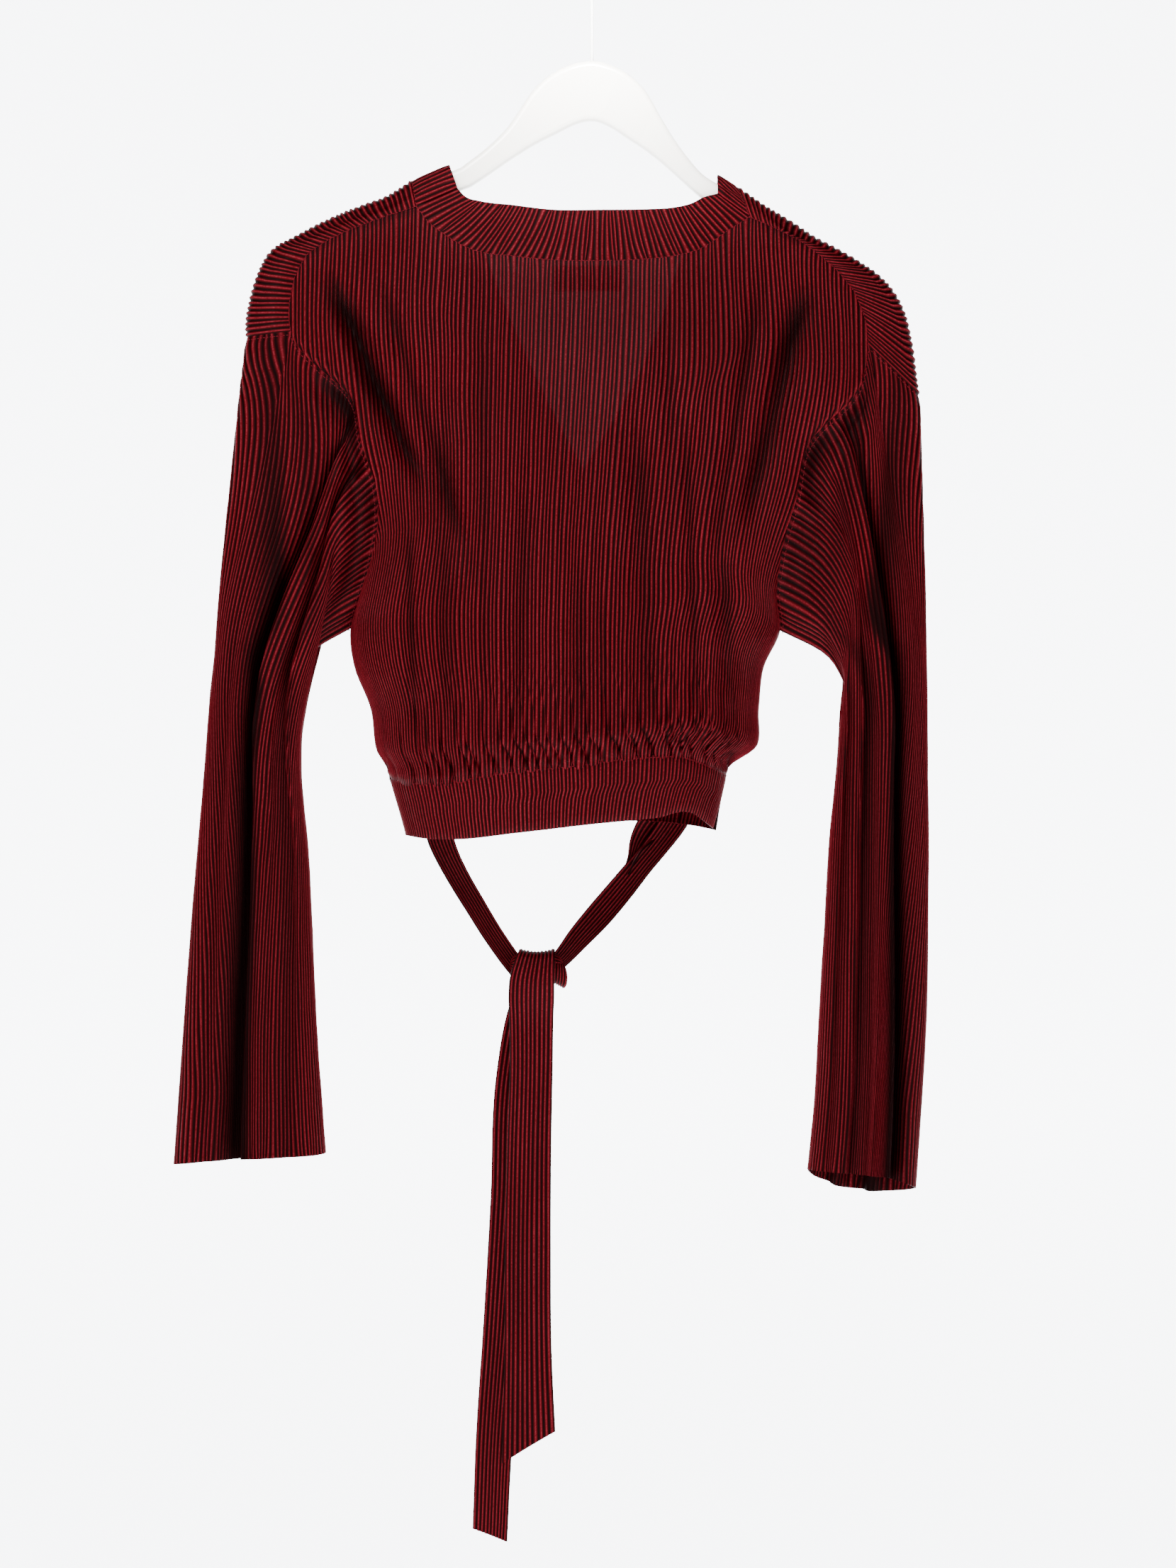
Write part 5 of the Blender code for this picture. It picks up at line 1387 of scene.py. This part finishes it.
def stitched(name, line, tree, thread, seed):
    """One seam's stitches, as a mesh in the cloth's own frame."""
    path = bpy.data.meshes.new(name + "_path")
    path.from_pydata(to_world(line).tolist(), [(i, i + 1) for i in range(len(line) - 1)], [])
    item = placed(name, path)
    modifier = item.modifiers.new("stitches", "NODES")
    modifier.node_group = tree
    names = {socket.name: socket.identifier for socket in tree.interface.items_tree
             if socket.in_out == "INPUT"}
    modifier[names["Seed"]] = seed
    modifier[names["Material"]] = thread
    modifier[names["Spacing"]] = STITCH_STEP * MM
    mesh = settled(item)
    item.modifiers.clear()
    item.data = mesh
    mesh.shade_smooth()
    enter(item)
    return item


def seam_line(grid, normal, rows, offset):
    """A line of points beside a seam, a little proud of the cloth."""
    line = grid[rows] + normal[rows] * offset
    return spaced(line, max(int(length_along(line)[-1] / 1.2), 8))


thread = Finish("wine thread", {"Roughness": 0.6, "Specular IOR Level": 0.03,
                                "Base Color": (0.06, 0.003, 0.006, 1)}).material
tree = stitch_tree()
seams = {"stitches_neck_back": seam_line(neck_back, normals["neck"], -1, 0.3),
         "stitches_waist_back": seam_line(bands["waistband_back"], normals["waistband_back"], 1, 0.5)}
for side, word in SIDES:
    front, normal = fronts[side], normals["front", side]
    seams["stitches_neck_" + word] = seam_line(front.transpose(1, 0, 2), normal.transpose(1, 0, 2), -1, 0.3)
    seams["stitches_shoulder_" + word] = seam_line(front, normal, 0, 0.4)
    seams["stitches_waist_" + word] = seam_line(bands["waistband_" + word], normals["waistband_" + word],
                                                1, 0.5)
    seams["stitches_armhole_" + word] = seam_line(sleeves[side], normals["sleeve", side], 1, 0.3)
stitch_faces = 0
for k, (name, line) in enumerate(seams.items()):
    item = stitched(name, line, tree, thread, 100 + k)
    stitch_faces += len(item.data.polygons)
print("stitches: %d seams, %d faces" % (len(seams), stitch_faces))


# %% [markdown]
# ## What each cloth was cut from
# A piece of cloth covers more when flat than it does as it hangs, because of its pleats and its
# gathers. Each piece states its flat width and length.

# %% Flat sizes
for _, word in SIDES:
    ({"front_" + word: "board_painted", "neckband_" + word: "board_painted",
                      "sleeve_" + word: "cloth_front_" + word, "waistband_" + word: "cloth_front_" + word,
                      "tie_" + word: "cloth_waistband_" + word})


def flat_size(piece, grid):
    """Width, length and area of the cloth in metres, with the pleats that show laid flat."""
    area = sum(face.area for face in piece.data.polygons) / 2
    plain = np.linalg.norm(np.cross(grid[1:, :-1] - grid[:-1, :-1], grid[:-1, 1:] - grid[:-1, :-1]), axis=2)
    opened = area / (plain.sum() * MM * MM)
    width = np.linalg.norm(np.diff(grid, axis=1), axis=2).sum(axis=1).max() * MM * opened
    length = np.linalg.norm(np.diff(grid, axis=0), axis=2).sum(axis=0).max() * MM
    return float(width), float(length), min(area, width * length)


total = 0.0
for name, piece in cloth.items():
    width, length, area = flat_size(piece, grids[name])
    total += area
    print("%s: cut %.0f x %.0f mm, %.3f square metres" % (name, width / MM, length / MM, area))
width, length, area = flat_size(label, label_grid)
print("cloth in all: %.2f square metres" % total)


# %% [markdown]
# ## Studio
# The photograph is a product shot on white: a level camera, some four metres away, and large soft
# lights that leave almost no shadow. The photo shows the top from behind, so the camera looks
# along +Y. A pale sweep closes the scene behind and below.

# %% Camera, light and backdrop
CAMERA_FAR, FRAME_HIGH, SENSOR_HIGH = 4.0, 1.106, 36.0
SWEEP_REACH, SWEEP_FLOOR, SWEEP_WALL, SWEEP_BEND = 9.0, -2.4, 7.0, 1.2
camera_data = bpy.data.cameras.new("photo")
camera_data.sensor_fit = "VERTICAL"
camera_data.sensor_height = SENSOR_HIGH
camera_data.lens = SENSOR_HIGH * CAMERA_FAR / FRAME_HIGH
camera = placed("photo", camera_data)
camera.location = (-0.00275, -CAMERA_FAR, -0.597)
camera.rotation_euler = (math.radians(90), 0, 0)
bpy.context.scene.camera = camera

backdrop = Finish("paper sweep", {"Roughness": 0.9, "Base Color": (0.91, 0.915, 0.925, 1),
                                  "Emission Color": (0.955, 0.97, 1, 1), "Emission Strength": 5.5}).material
bend_y, bend_z = SWEEP_WALL - SWEEP_BEND, SWEEP_FLOOR + SWEEP_BEND
profile = [(-SWEEP_REACH, SWEEP_FLOOR), (bend_y, SWEEP_FLOOR)]
profile += [(bend_y + SWEEP_BEND * math.sin(a), bend_z - SWEEP_BEND * math.cos(a))
            for a in np.radians(np.linspace(5, 90, 18))]
profile += [(SWEEP_WALL, SWEEP_WALL)]
sweep_mesh = bpy.data.meshes.new("sweep")
n = len(profile)
sweep_mesh.from_pydata([(x, y, z) for x in (-SWEEP_REACH, SWEEP_REACH) for y, z in profile], [],
                       [(i, i + 1, n + i + 1, n + i) for i in range(n - 1)])
sweep_mesh.materials.append(backdrop)
sweep_mesh.shade_smooth()
placed("sweep", sweep_mesh)


def area_light(name, place, aim, size, power, spread=180):
    data = bpy.data.lights.new(name, "AREA")
    data.shape = "RECTANGLE"
    data.size, data.size_y = size
    data.energy = power
    data.spread = math.radians(spread)
    item = placed(name, data)
    item.location = place
    item.rotation_euler = (Vector(aim) - Vector(place)).to_track_quat("-Z", "Y").to_euler()


area_light("key", (-1.1, -1.9, 1.1), (0, 0, -0.5), (0.7, 0.7), 120)
area_light("fill", (1.6, -3.2, 0.2), (0, 0, -0.6), (1.4, 1.8), 60)
area_light("top", (0.0, -0.8, 0.4), (0, 0, -0.02), (0.2, 0.15), 1.9, spread=18)
world = bpy.data.worlds.new("studio")
world.use_nodes = True
world.node_tree.nodes["Background"].inputs["Color"].default_value = (0.95, 0.96, 1.0, 1)
world.node_tree.nodes["Background"].inputs["Strength"].default_value = 0.3
bpy.context.scene.world = world
print("studio: three lights")
